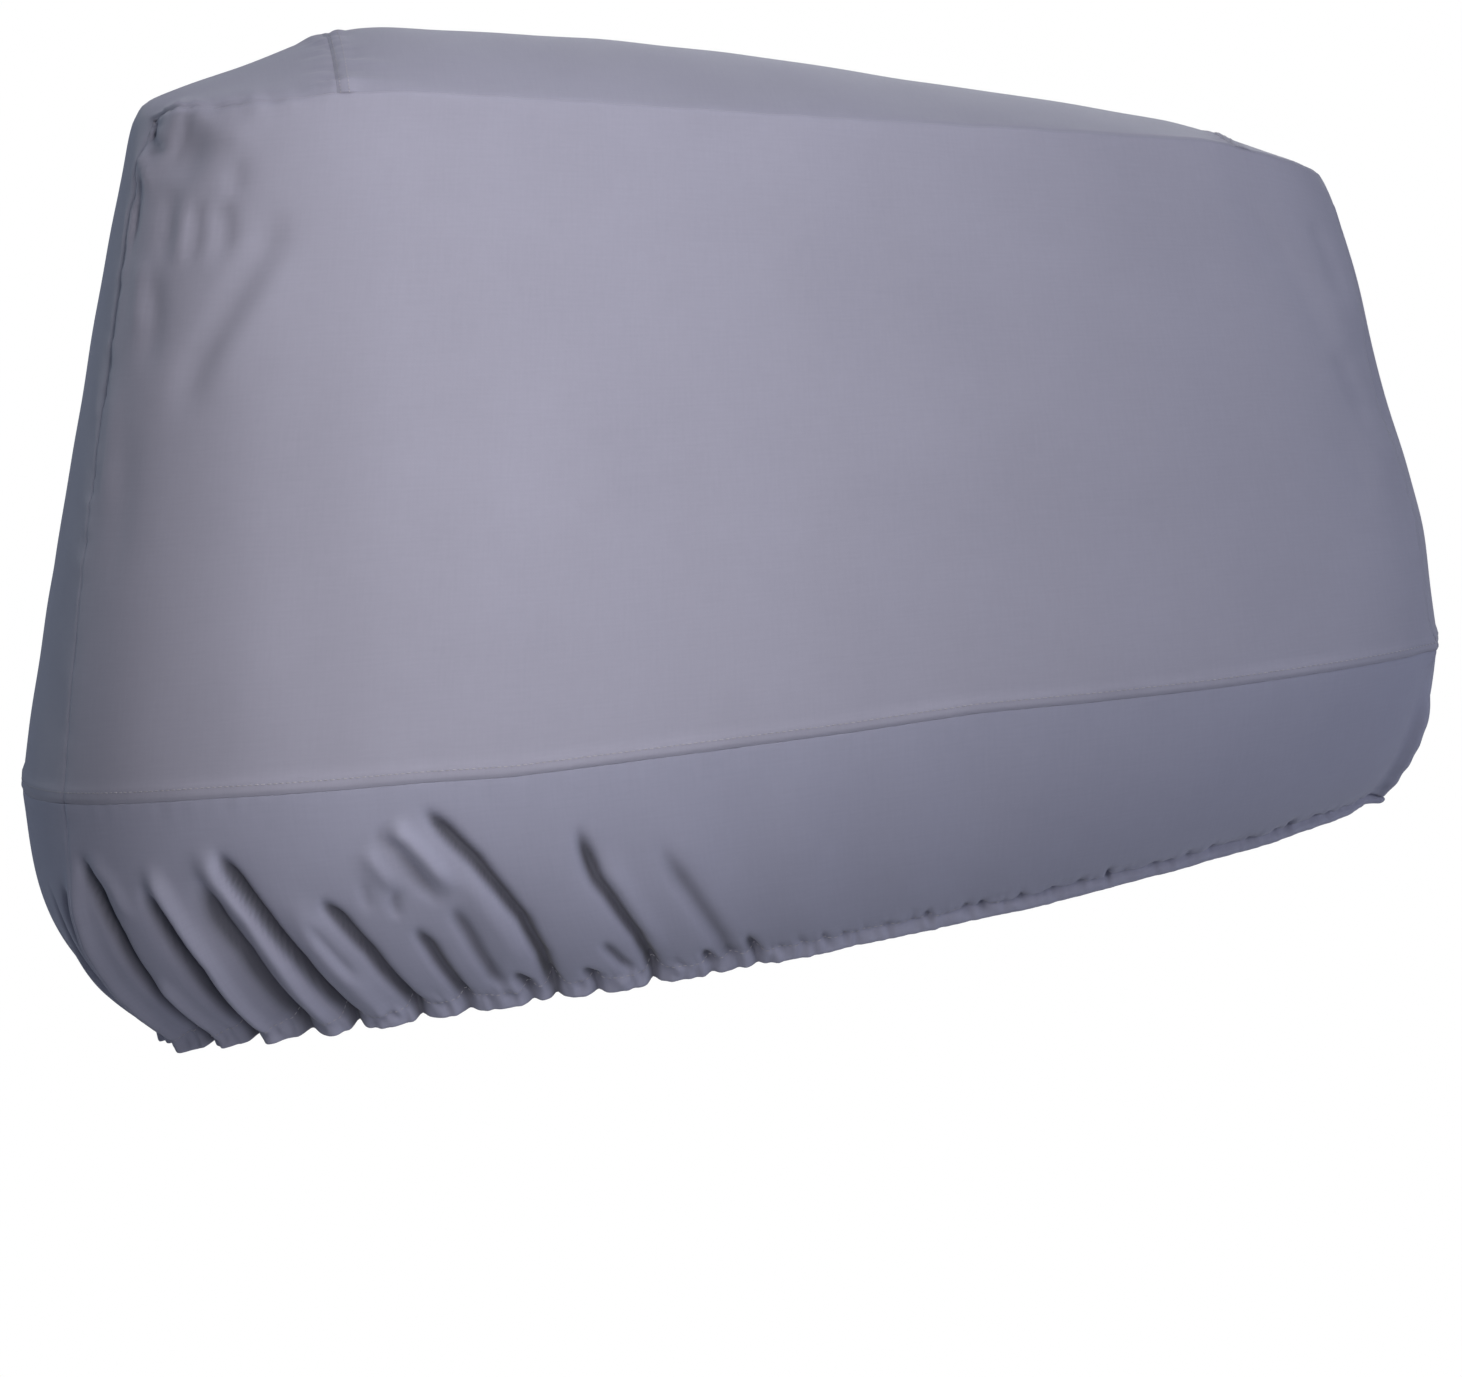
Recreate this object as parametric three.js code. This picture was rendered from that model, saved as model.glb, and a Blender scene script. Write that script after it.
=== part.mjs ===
// Outboard motor cover: a fitted cloth cover drawn in under its lower edge by elastic.
// Millimetres. Front is +X, up is +Z. The origin lies on the underside of the top, mid width.

import * as THREE from 'three';

// Cloth
const SHEET = 2;
const HEM_EXTRA = 0.9;
const SEAM_INSET = 0.15;

// Lines drawn round the cover at three heights. Each is a rounded outline, from rear to front.
// rearSeam and frontSeam are the half widths at which the corner seams cross the line.
const OUTLINES = {
  middle: { rear: -399, front: 396, half: 238, rearPower: 3.2, frontPower: 4.0, taper: 0.10,
    rearSeam: 150, frontSeam: 138 },
  top: { rear: -341, front: 333, half: 172, rearPower: 4.2, frontPower: 4.5, taper: 0.12,
    rearSeam: 119, frontSeam: 100 },
  hem: { rear: -322, front: 374, half: 171, rearPower: 3.8, frontPower: 3.2, taper: 0.06,
    rearSeam: 104, frontSeam: 92 },
};

// The middle seam lies in one plane that rises toward the front
const MIDDLE_START = { x: -395, z: -413.3 };
const MIDDLE_SLOPE = 0.1075;

// Height of the seam between the side and the top, along the length
const TOP_SEAM = [
  { x: -341, z: -38 },
  { x: -322, z: -31 },
  { x: -274, z: -27 },
  { x: -232, z: -24 },
  { x: -194, z: -23 },
  { x: -92, z: -28.5 },
  { x: 12, z: -35 },
  { x: 124, z: -41.5 },
  { x: 217, z: -46.5 },
  { x: 248, z: -48 },
  { x: 284, z: -56 },
  { x: 321, z: -66 },
  { x: 333, z: -71 },
];

// How far the centre strip stands proud of its two seams: upward, and toward the near end
const CROWN = [
  { x: -341, up: 2, out: 5 },
  { x: -322, up: 5, out: 4 },
  { x: -270, up: 20, out: 1 },
  { x: -228, up: 36, out: 0 },
  { x: -196, up: 38.5, out: 0 },
  { x: -150, up: 39, out: 0 },
  { x: -77, up: 38.5, out: 0 },
  { x: 0, up: 35.5, out: 0 },
  { x: 32, up: 33.5, out: 0 },
  { x: 99, up: 26, out: 0 },
  { x: 156, up: 22, out: 0 },
  { x: 243, up: 12.5, out: 0 },
  { x: 268, up: 9, out: 0 },
  { x: 300, up: 4, out: 6 },
  { x: 333, up: 2, out: 12 },
];

// Where the two short seams cross the centre strip
const REAR_CROSS_SEAM = -228;
const FRONT_CROSS_SEAM = 265;

// Outward swell of the side between its lower and upper seams, from rear corner to front corner
const SWELL = [
  { along: 0, by: 6 },
  { along: 0.15, by: 8 },
  { along: 0.5, by: 10 },
  { along: 0.85, by: 8 },
  { along: 1, by: 9 },
];

// Height of the hem along the length
const HEM = [
  { x: -322, z: -551 },
  { x: -280, z: -541 },
  { x: -225, z: -532 },
  { x: -150, z: -521 },
  { x: -76, z: -511 },
  { x: 0, z: -498 },
  { x: 76, z: -483 },
  { x: 160, z: -467 },
  { x: 237, z: -449 },
  { x: 291, z: -436 },
  { x: 333, z: -425 },
  { x: 374, z: -411 },
];
const TURN_UNDER = 80 * Math.PI / 180;

// Sideways drift of the folds between the hem and the middle seam, as shares of the side
const DRIFT = [
  { along: 0, by: 0 },
  { along: 0.15, by: -0.022 },
  { along: 0.31, by: -0.03 },
  { along: 0.43, by: -0.015 },
  { along: 0.55, by: 0 },
  { along: 1, by: 0 },
];

// Folds of each skirt piece. at is the way along the hem from the piece's rear or starboard seam,
// depth is positive for a ridge, start is the share of the drop at which the fold begins.
const STARBOARD_FOLDS = [
  { at: 20, depth: -6, width: 13, start: 0.1 },
  { at: 50, depth: -5, width: 12, start: 0.2 },
  { at: 79, depth: -7, width: 14, start: 0.2 },
  { at: 106, depth: -8, width: 14, start: 0.15 },
  { at: 145, depth: -6, width: 14, start: 0.35 },
  { at: 173, depth: -5, width: 13, start: 0.45 },
  { at: 214, depth: -8, width: 15, start: 0.1 },
  { at: 242, depth: 4, width: 14, start: 0.4 },
  { at: 270, depth: -6, width: 14, start: 0.2 },
  { at: 309, depth: -5, width: 14, start: 0.3 },
  { at: 360, depth: -4, width: 14, start: 0.6 },
  { at: 420, depth: -3.5, width: 14, start: 0.65 },
  { at: 492, depth: -3.5, width: 14, start: 0.65 },
  { at: 560, depth: -3, width: 14, start: 0.7 },
  { at: 625, depth: -3, width: 14, start: 0.65 },
];
const PORT_FOLDS = [
  { at: 30, depth: -7, width: 14, start: 0.2 },
  { at: 61, depth: 5, width: 13, start: 0.3 },
  { at: 92, depth: -8, width: 15, start: 0.2 },
  { at: 125, depth: -5, width: 12, start: 0.4 },
  { at: 150, depth: 6, width: 14, start: 0.3 },
  { at: 186, depth: -8, width: 15, start: 0.15 },
  { at: 230, depth: -5, width: 14, start: 0.35 },
  { at: 262, depth: 4, width: 14, start: 0.45 },
  { at: 288, depth: -6, width: 14, start: 0.3 },
  { at: 342, depth: -4, width: 14, start: 0.55 },
  { at: 398, depth: -3.5, width: 14, start: 0.6 },
  { at: 470, depth: -3.5, width: 14, start: 0.65 },
  { at: 533, depth: -3, width: 14, start: 0.7 },
  { at: 600, depth: -3.5, width: 14, start: 0.6 },
];
const REAR_FOLDS = [
  { at: 16, depth: -6, width: 12, start: 0.2 },
  { at: 52, depth: 5, width: 13, start: 0.35 },
  { at: 78, depth: -7, width: 14, start: 0.25 },
  { at: 118, depth: -4, width: 12, start: 0.45 },
  { at: 152, depth: -7, width: 14, start: 0.2 },
  { at: 184, depth: 5, width: 12, start: 0.35 },
];
const FRONT_FOLDS = [
  { at: 28, depth: -3, width: 13, start: 0.5 },
  { at: 74, depth: -3.5, width: 14, start: 0.45 },
  { at: 122, depth: -2.5, width: 13, start: 0.55 },
  { at: 160, depth: -3, width: 13, start: 0.5 },
];

// Mesh divisions
const SIDE_COLUMNS = 32;
const SIDE_ROWS = 7;
const STRIP_COLUMNS = 10;
const SKIRT_SIDE_COLUMNS = 56;
const SKIRT_END_COLUMNS = 20;
const SKIRT_ROWS = 8;

const CLOTH_COLOUR = 0x9b98a8;

// Small helpers
const mix = (a, b, share) => a + (b - a) * share;

function lookUp(table, key, column, value) {
  if (value <= table[0][key]) {
    return table[0][column];
  }
  for (let i = 1; i < table.length; i += 1) {
    const before = table[i - 1];
    const after = table[i];
    if (value <= after[key]) {
      const share = (value - before[key]) / (after[key] - before[key]);
      return mix(before[column], after[column], share);
    }
  }
  return table[table.length - 1][column];
}

// Outlines as fine polylines, cut at the corner seams
function drawOutline(row) {
  const centre = (row.rear + row.front) / 2;
  const reach = (row.front - row.rear) / 2;
  const points = [];
  for (let i = 0; i <= 4000; i += 1) {
    const angle = Math.PI * i / 4000;
    const c = Math.cos(angle);
    const s = Math.max(Math.sin(angle), 0);
    const power = c > 0 ? row.rearPower : row.frontPower;
    const x = centre - reach * Math.sign(c) * Math.abs(c) ** (2 / power);
    const y = row.half * s ** (2 / power) * (1 - row.taper * (x - centre) / reach);
    points.push({ x, y });
  }
  return points;
}

function measure(points) {
  let length = 0;
  points.forEach((point, i) => {
    if (i > 0) {
      length += Math.hypot(point.x - points[i - 1].x, point.y - points[i - 1].y);
    }
    point.length = length;
  });
  return { points, length };
}

function sideOf(row) {
  const points = drawOutline(row);
  const first = points.findIndex((point) => point.y >= row.rearSeam);
  let last = points.length - 1;
  while (points[last].y < row.frontSeam) {
    last -= 1;
  }
  return measure(points.slice(first, last + 1));
}

function pointAlong(line, share) {
  const goal = share * line.length;
  return {
    x: lookUp(line.points, 'length', 'x', goal),
    y: lookUp(line.points, 'length', 'y', goal),
  };
}

const SIDES = {
  middle: sideOf(OUTLINES.middle),
  top: sideOf(OUTLINES.top),
  hem: sideOf(OUTLINES.hem),
};

const middleHeight = (x) => MIDDLE_START.z + (x - MIDDLE_START.x) * MIDDLE_SLOPE;

// Starboard side panel: share runs from the rear corner to the front one, rise from seam to seam
function sidePoint(share, rise) {
  const low = pointAlong(SIDES.middle, share);
  const high = pointAlong(SIDES.top, share);
  const before = pointAlong(SIDES.middle, Math.max(share - 0.01, 0));
  const after = pointAlong(SIDES.middle, Math.min(share + 0.01, 1));
  const run = Math.hypot(after.x - before.x, after.y - before.y);
  const swell = lookUp(SWELL, 'along', 'by', share) * (4 * rise * (1 - rise)) ** 0.7;
  const x = mix(low.x, high.x, rise) - swell * (after.y - before.y) / run;
  const y = mix(low.y, high.y, rise) + swell * (after.x - before.x) / run;
  const z = mix(middleHeight(low.x), lookUp(TOP_SEAM, 'x', 'z', high.x), rise);
  return new THREE.Vector3(x, -y, z);
}

// Centre strip: a station on its starboard seam, then across to the port one
function stripPoint(station, across) {
  const seam = sidePoint(station.share, station.rise);
  const end = station.share < 0.5 ? 'rear' : 'front';
  const row = OUTLINES.middle;
  const low = sidePoint(station.share < 0.5 ? 0 : 1, 0);
  const lowOut = Math.abs(row[end] - low.x);
  const topOut = lookUp(CROWN, 'x', 'out', seam.x);
  const onEnd = station.share === 0 || station.share === 1;
  const cornerOut = lookUp(CROWN, 'x', 'out', sidePoint(station.share, 1).x);
  const out = onEnd ? mix(cornerOut, lowOut, (1 - station.rise) ** 1.6) : topOut;
  const up = station.rise < 1 ? 0 : lookUp(CROWN, 'x', 'up', seam.x);
  const side = Math.abs(2 * across - 1);
  const outward = out * (1 - side ** 3) * (end === 'rear' ? -1 : 1);
  const point = new THREE.Vector3(seam.x + outward, mix(seam.y, -seam.y, across), seam.z);
  point.z += up * (1 - side ** (2 + Math.min(out, 12) / 12));
  point.z += onEnd ? outward * MIDDLE_SLOPE * (1 - station.rise) : 0;
  return point;
}

// Skirt: from the middle seam down and under to the hem
function turnUnder(from, to, drop) {
  const angle = drop * TURN_UNDER;
  const inward = (1 - Math.cos(angle)) / (1 - Math.cos(TURN_UNDER));
  const downward = Math.sin(angle) / Math.sin(TURN_UNDER);
  return new THREE.Vector3(
    mix(from.x, to.x, inward),
    mix(from.y, to.y, inward),
    mix(from.z, to.z, downward),
  );
}

function skirtSidePoint(share, drop) {
  const to = pointAlong(SIDES.hem, share);
  to.y = -to.y;
  to.z = lookUp(HEM, 'x', 'z', to.x);
  return turnUnder(sidePoint(share, 0), to, drop);
}

function hemEndPoint(end, across) {
  const corner = pointAlong(SIDES.hem, end === 'rear' ? 0 : 1);
  const side = Math.abs(2 * across - 1);
  const x = corner.x + (OUTLINES.hem[end] - corner.x) * (1 - side ** 2.4);
  const to = { x, y: mix(-corner.y, corner.y, across), z: lookUp(HEM, 'x', 'z', corner.x) };
  const slope = end === 'rear' ? 0.1 : 0.25;
  to.z += (to.x - corner.x) * slope;
  return to;
}

function skirtEndPoint(end, across, drop) {
  const station = { share: end === 'rear' ? 0 : 1, rise: 0 };
  return turnUnder(stripPoint(station, across), hemEndPoint(end, across), drop);
}

// Columns of a skirt piece, evenly spaced and then moved onto the middle of each fold
function columnsOn(folds, length, count) {
  const columns = [];
  for (let i = 0; i <= count; i += 1) {
    columns.push(i / count);
  }
  for (const fold of folds) {
    const goal = fold.at / length;
    const nearest = Math.min(Math.max(Math.round(goal * count), 1), count - 1);
    columns[nearest] = goal;
  }
  return columns;
}

function foldHeight(folds, length, share, drop) {
  let height = 0;
  for (const fold of folds) {
    const away = (share * length - fold.at) / fold.width;
    const grown = Math.min(Math.max((drop - fold.start) / (1 - fold.start), 0), 1);
    height += fold.depth * Math.exp(-away * away) * grown * (2 - grown);
  }
  return height * Math.min(1, share * length / 8, (1 - share) * length / 8);
}

function withFolds(surface, folds, length, share, drop, drift) {
  const shifted = (s, d) => {
    const moved = s + drift(s) * (1 - d);
    return surface(Math.min(Math.max(moved, 0), 1), d);
  };
  const point = shifted(share, drop);
  const step = 0.01;
  const along = shifted(Math.min(share + step, 1), drop).sub(shifted(Math.max(share - step, 0), drop));
  const down = shifted(share, Math.min(drop + step, 1)).sub(shifted(share, Math.max(drop - step, 0)));
  const outward = new THREE.Vector3().crossVectors(down, along).normalize();
  const height = foldHeight(folds, length, share, drop);
  return point.addScaledVector(outward, height);
}

// Grids of points. Every grid is seen from outside with its rows running up and its columns
// running to the right, and each of its four edges is named.
function makeGrid(rows, columns, pointAt) {
  const points = [];
  for (let r = 0; r <= rows; r += 1) {
    const line = [];
    for (let c = 0; c <= columns; c += 1) {
      line.push(pointAt(r, c));
    }
    points.push(line);
  }
  return { rows, columns, points };
}

function mirrored(grid) {
  const points = grid.points.map((line) => {
    const flipped = line.map((point) => new THREE.Vector3(point.x, -point.y, point.z));
    return flipped.reverse();
  });
  return { rows: grid.rows, columns: grid.columns, points };
}

// Shares of the side's columns, with one moved onto each cross seam
function sideShares() {
  const shares = [];
  for (let i = 0; i <= SIDE_COLUMNS; i += 1) {
    shares.push(i / SIDE_COLUMNS);
  }
  for (const goal of [REAR_CROSS_SEAM, FRONT_CROSS_SEAM]) {
    let low = 0;
    let high = 1;
    for (let i = 0; i < 40; i += 1) {
      const middle = (low + high) / 2;
      if (pointAlong(SIDES.top, middle).x < goal) {
        low = middle;
      } else {
        high = middle;
      }
    }
    shares[Math.round(low * SIDE_COLUMNS)] = low;
  }
  return shares;
}

const SHARES = sideShares();
const crossColumn = (goal) => SHARES.findIndex((share) => {
  return Math.abs(pointAlong(SIDES.top, share).x - goal) < 0.01;
});
const REAR_CROSS = crossColumn(REAR_CROSS_SEAM);
const FRONT_CROSS = crossColumn(FRONT_CROSS_SEAM);

// Seen from outside on the starboard side, the front of the cover lies to the right
const sideGrid = makeGrid(SIDE_ROWS, SIDE_COLUMNS, (r, c) => sidePoint(SHARES[c], r / SIDE_ROWS));

// The strip runs up the rear, along the top and down the front. Its columns run from port to
// starboard, so that they run to the right when seen from behind with the rows going up.
function stripGrid(stations) {
  return makeGrid(stations.length - 1, STRIP_COLUMNS, (r, c) => {
    return stripPoint(stations[r], 1 - c / STRIP_COLUMNS);
  });
}

const rearStations = [];
const topStations = [];
const frontStations = [];
for (let r = 0; r < SIDE_ROWS; r += 1) {
  rearStations.push({ share: 0, rise: r / SIDE_ROWS });
}
SHARES.forEach((share, i) => {
  const station = { share, rise: 1 };
  if (i <= REAR_CROSS) {
    rearStations.push(station);
  }
  if (i >= REAR_CROSS && i <= FRONT_CROSS) {
    topStations.push(station);
  }
  if (i >= FRONT_CROSS) {
    frontStations.push(station);
  }
});
for (let r = SIDE_ROWS - 1; r >= 0; r -= 1) {
  frontStations.push({ share: 1, rise: r / SIDE_ROWS });
}

// Skirt grids. Row 0 is the hem and the last row is the middle seam.
function skirtSideGrid(folds) {
  const length = SIDES.hem.length;
  const shares = columnsOn(folds, length, SKIRT_SIDE_COLUMNS);
  const drift = (share) => lookUp(DRIFT, 'along', 'by', share);
  return makeGrid(SKIRT_ROWS, SKIRT_SIDE_COLUMNS, (r, c) => {
    return withFolds(skirtSidePoint, folds, length, shares[c], 1 - r / SKIRT_ROWS, drift);
  });
}

function skirtEndGrid(end, folds) {
  const length = 2 * OUTLINES.hem[`${end}Seam`];
  const shares = columnsOn(folds, length, SKIRT_END_COLUMNS);
  const surface = (across, drop) => skirtEndPoint(end, across, drop);
  const still = () => 0;
  const grid = makeGrid(SKIRT_ROWS, SKIRT_END_COLUMNS, (r, c) => {
    const drop = 1 - r / SKIRT_ROWS;
    return withFolds(surface, folds, length, shares[c], drop, still);
  });
  if (end === 'rear') {
    grid.points.forEach((line) => line.reverse());
  }
  return grid;
}

const PANELS = [
  { name: 'side_panel_starboard', grid: sideGrid, seamRow: 'bottom' },
  { name: 'side_panel_port', grid: mirrored(sideGrid), seamRow: 'bottom' },
  { name: 'rear_panel', grid: stripGrid(rearStations), seamRow: 'bottom' },
  { name: 'top_panel', grid: stripGrid(topStations), seamRow: 'none' },
  { name: 'front_panel', grid: stripGrid(frontStations), seamRow: 'top' },
  { name: 'skirt_starboard', grid: skirtSideGrid(STARBOARD_FOLDS), seamRow: 'top', hem: true },
  { name: 'skirt_port', grid: mirrored(skirtSideGrid(PORT_FOLDS)), seamRow: 'top', hem: true },
  { name: 'skirt_rear', grid: skirtEndGrid('rear', REAR_FOLDS), seamRow: 'top', hem: true },
  { name: 'skirt_front', grid: skirtEndGrid('front', FRONT_FOLDS), seamRow: 'top', hem: true },
];

// Normals, shared by all panels that meet at a point
const normals = new Map();
const keyOf = (point) => [point.x, point.y, point.z].map((v) => Math.round(v * 50)).join(' ');
const seamUp = new THREE.Vector3(-MIDDLE_SLOPE, 0, 1).normalize();

function addNormal(point, normal) {
  const key = keyOf(point);
  const entry = normals.get(key) ?? { sum: new THREE.Vector3(), faces: [], onSeam: false };
  entry.sum.add(normal);
  entry.faces.push(normal);
  normals.set(key, entry);
}

for (const { grid, seamRow } of PANELS) {
  for (let r = 0; r < grid.rows; r += 1) {
    for (let c = 0; c < grid.columns; c += 1) {
      const a = grid.points[r][c];
      const b = grid.points[r][c + 1];
      const d = grid.points[r + 1][c];
      const e = grid.points[r + 1][c + 1];
      const normal = new THREE.Vector3().crossVectors(
        new THREE.Vector3().subVectors(e, a),
        new THREE.Vector3().subVectors(d, b),
      ).normalize();
      [a, b, d, e].forEach((point) => addNormal(point, normal));
    }
  }
  const row = { bottom: 0, top: grid.rows }[seamRow];
  if (row !== undefined) {
    grid.points[row].forEach((point) => {
      normals.get(keyOf(point)).onSeam = true;
    });
  }
}

for (const entry of normals.values()) {
  entry.normal = entry.sum.clone();
  if (entry.onSeam) {
    entry.normal.addScaledVector(seamUp, -entry.normal.dot(seamUp));
  }
  entry.normal.normalize();
  let least = 1;
  for (const face of entry.faces) {
    least = Math.min(least, face.dot(entry.normal));
  }
  entry.stretch = 1 / Math.max(least, 0.62);
}

// Way from an edge point into its own panel, square to the seam and to the shared normal
function inset(grid, r, c, stepRow, stepColumn, onSeam) {
  const points = grid.points;
  const here = points[r][c];
  const inner = points[r + stepRow][c + stepColumn];
  if (onSeam) {
    const rising = inner.clone().sub(here).dot(seamUp) > 0 ? 1 : -1;
    return seamUp.clone().multiplyScalar(SEAM_INSET * rising);
  }
  const lastRow = grid.rows;
  const lastColumn = grid.columns;
  const before = stepRow ? points[r][Math.max(c - 1, 0)] : points[Math.max(r - 1, 0)][c];
  const after = stepRow ? points[r][Math.min(c + 1, lastColumn)] : points[Math.min(r + 1, lastRow)][c];
  const tangent = after.clone().sub(before).normalize();
  const normal = normals.get(keyOf(here)).normal;
  const way = new THREE.Vector3().crossVectors(tangent, normal).normalize();
  const sign = inner.clone().sub(here).dot(way) > 0 ? 1 : -1;
  return way.multiplyScalar(SEAM_INSET * sign);
}

function thickness(panel, r) {
  if (!panel.hem || r > 1) {
    return SHEET;
  }
  return SHEET + HEM_EXTRA;
}

// One closed sheet for each panel: outer face, inner face and the four edges between them
function makeSheet(panel) {
  const { grid, seamRow } = panel;
  const outer = [];
  const inner = [];
  for (let r = 0; r <= grid.rows; r += 1) {
    for (let c = 0; c <= grid.columns; c += 1) {
      const point = grid.points[r][c].clone();
      const { normal, stretch } = normals.get(keyOf(grid.points[r][c]));
      const move = new THREE.Vector3();
      if (r === 0) {
        move.add(inset(grid, r, c, 1, 0, seamRow === 'bottom'));
      }
      if (r === grid.rows) {
        move.add(inset(grid, r, c, -1, 0, seamRow === 'top'));
      }
      if (c === 0) {
        move.add(inset(grid, r, c, 0, 1, false));
      }
      if (c === grid.columns) {
        move.add(inset(grid, r, c, 0, -1, false));
      }
      point.add(move);
      outer.push(point);
      inner.push(point.clone().addScaledVector(normal, -thickness(panel, r) * stretch));
    }
  }
  const width = grid.columns + 1;
  const count = outer.length;
  const faces = [];
  const quad = (a, b, c, d) => {
    faces.push(a, b, c, a, c, d);
  };
  for (let r = 0; r < grid.rows; r += 1) {
    for (let c = 0; c < grid.columns; c += 1) {
      const a = r * width + c;
      quad(a, a + 1, a + width + 1, a + width);
      quad(count + a, count + a + width, count + a + width + 1, count + a + 1);
    }
  }
  for (let c = 0; c < grid.columns; c += 1) {
    const top = grid.rows * width + c;
    quad(c, count + c, count + c + 1, c + 1);
    quad(top, top + 1, count + top + 1, count + top);
  }
  for (let r = 0; r < grid.rows; r += 1) {
    const left = r * width;
    const right = left + grid.columns;
    quad(left, left + width, count + left + width, count + left);
    quad(right, count + right, count + right + width, right + width);
  }
  const geometry = new THREE.BufferGeometry();
  const numbers = [...outer, ...inner].flatMap((point) => [point.x, point.y, point.z]);
  geometry.setAttribute('position', new THREE.Float32BufferAttribute(numbers, 3));
  geometry.setIndex(faces);
  geometry.computeVertexNormals();
  return geometry;
}

const cover = new THREE.Group();
cover.name = 'outboard_motor_cover';
for (const panel of PANELS) {
  const material = new THREE.MeshStandardMaterial({
    name: `${panel.name}_cloth`,
    color: CLOTH_COLOUR,
    roughness: 0.85,
    metalness: 0,
    side: THREE.DoubleSide,
  });
  const mesh = new THREE.Mesh(makeSheet(panel), material);
  mesh.name = panel.name;
  cover.add(mesh);
}

export default cover;
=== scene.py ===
import math

import bpy
import numpy as np
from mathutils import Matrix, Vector


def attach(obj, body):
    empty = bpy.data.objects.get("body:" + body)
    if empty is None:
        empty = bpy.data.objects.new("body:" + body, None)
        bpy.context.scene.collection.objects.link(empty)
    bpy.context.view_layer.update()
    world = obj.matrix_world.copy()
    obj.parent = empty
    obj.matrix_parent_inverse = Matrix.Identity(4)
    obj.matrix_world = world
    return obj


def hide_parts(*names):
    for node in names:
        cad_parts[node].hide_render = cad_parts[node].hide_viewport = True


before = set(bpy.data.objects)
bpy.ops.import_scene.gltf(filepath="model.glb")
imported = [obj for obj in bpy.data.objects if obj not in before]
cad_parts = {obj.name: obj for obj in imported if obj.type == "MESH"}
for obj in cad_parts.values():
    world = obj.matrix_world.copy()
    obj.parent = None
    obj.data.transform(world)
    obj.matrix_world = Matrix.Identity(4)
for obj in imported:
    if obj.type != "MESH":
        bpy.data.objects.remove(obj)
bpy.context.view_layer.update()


# Camera: the cover is seen almost square on to its starboard side, from a little behind its
# middle and a little above it, through a long lens.
CAMERA_TARGET = Vector((-0.004, -0.060, -0.3543))
CAMERA_DISTANCE = 3.6
CAMERA_AZIMUTH = -6.0
CAMERA_ELEVATION = 4.3
CAMERA_LENS = 158.3


def look_back(azimuth, elevation):
    """The way from the cover to whatever looks at it or lights it. Azimuth 0 is starboard."""
    a, e = math.radians(azimuth), math.radians(elevation)
    return Vector((math.sin(a) * math.cos(e), -math.cos(a) * math.cos(e), math.sin(e)))


camera_back = look_back(CAMERA_AZIMUTH, CAMERA_ELEVATION)
camera_data = bpy.data.cameras.new("camera")
camera_data.sensor_fit = "HORIZONTAL"
camera_data.sensor_width = 36
camera_data.lens = CAMERA_LENS
camera = bpy.data.objects.new("camera", camera_data)
camera.location = CAMERA_TARGET + camera_back * CAMERA_DISTANCE
camera.rotation_euler = (-camera_back).to_track_quat("-Z", "Y").to_euler()
bpy.context.scene.collection.objects.link(camera)
bpy.context.scene.camera = camera


# Room: a round pale floor well below the cover, soft lights round it and above it, and white
# beyond them.
FLOOR_HEIGHT = -1.32
FLOOR_RADIUS = 2.9
FLOOR_CORNERS = 128
FLOOR_COLOUR = (0.62, 0.62, 0.63, 1)
COVER_CENTRE = (0, 0, -0.25)
LIGHTS = [
    dict(name="key_light", azimuth=-10, elevation=10, distance=0.55, size=(0.15, 0.88), power=3.65,
         colour=(1.0, 0.965, 0.885), at=(-0.12, -0.2, -0.22)),
    dict(name="side_light", azimuth=60, elevation=5, distance=2.6, size=(1.2, 1.2), power=24,
         colour=(0.93, 0.95, 1.0)),
    dict(name="high_light", azimuth=60, elevation=60, distance=2.6, size=(1.2, 1.2), power=11,
         colour=(0.93, 0.95, 1.0)),
    dict(name="top_light", azimuth=35, elevation=60, distance=0.8, size=(0.3, 0.3), power=3.2,
         colour=(1.0, 0.98, 0.95), at=(-0.28, -0.1, 0)),
    dict(name="rear_light", azimuth=-122, elevation=15, distance=2.0, size=(0.8, 0.8), power=10,
         colour=(0.78, 0.88, 1.0)),
    dict(name="port_light", azimuth=165, elevation=14, distance=2.8, size=(1.4, 1.4), power=30,
         colour=(0.95, 0.97, 1.0)),
]


class Sock:
    """A node's socket. Arithmetic on it adds the Math nodes that work out the same sum."""

    def __init__(self, tree, socket):
        self.tree = tree
        self.socket = socket

    def math(self, operation, *values):
        return self.tree.node("ShaderNodeMath", {"operation": operation}, dict(enumerate(values)))

    def __add__(self, other):
        return self.math("ADD", self, other)

    def __radd__(self, other):
        return self.math("ADD", other, self)

    def __rsub__(self, other):
        return self.math("SUBTRACT", other, self)

    def __mul__(self, other):
        return self.math("MULTIPLY", self, other)


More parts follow.
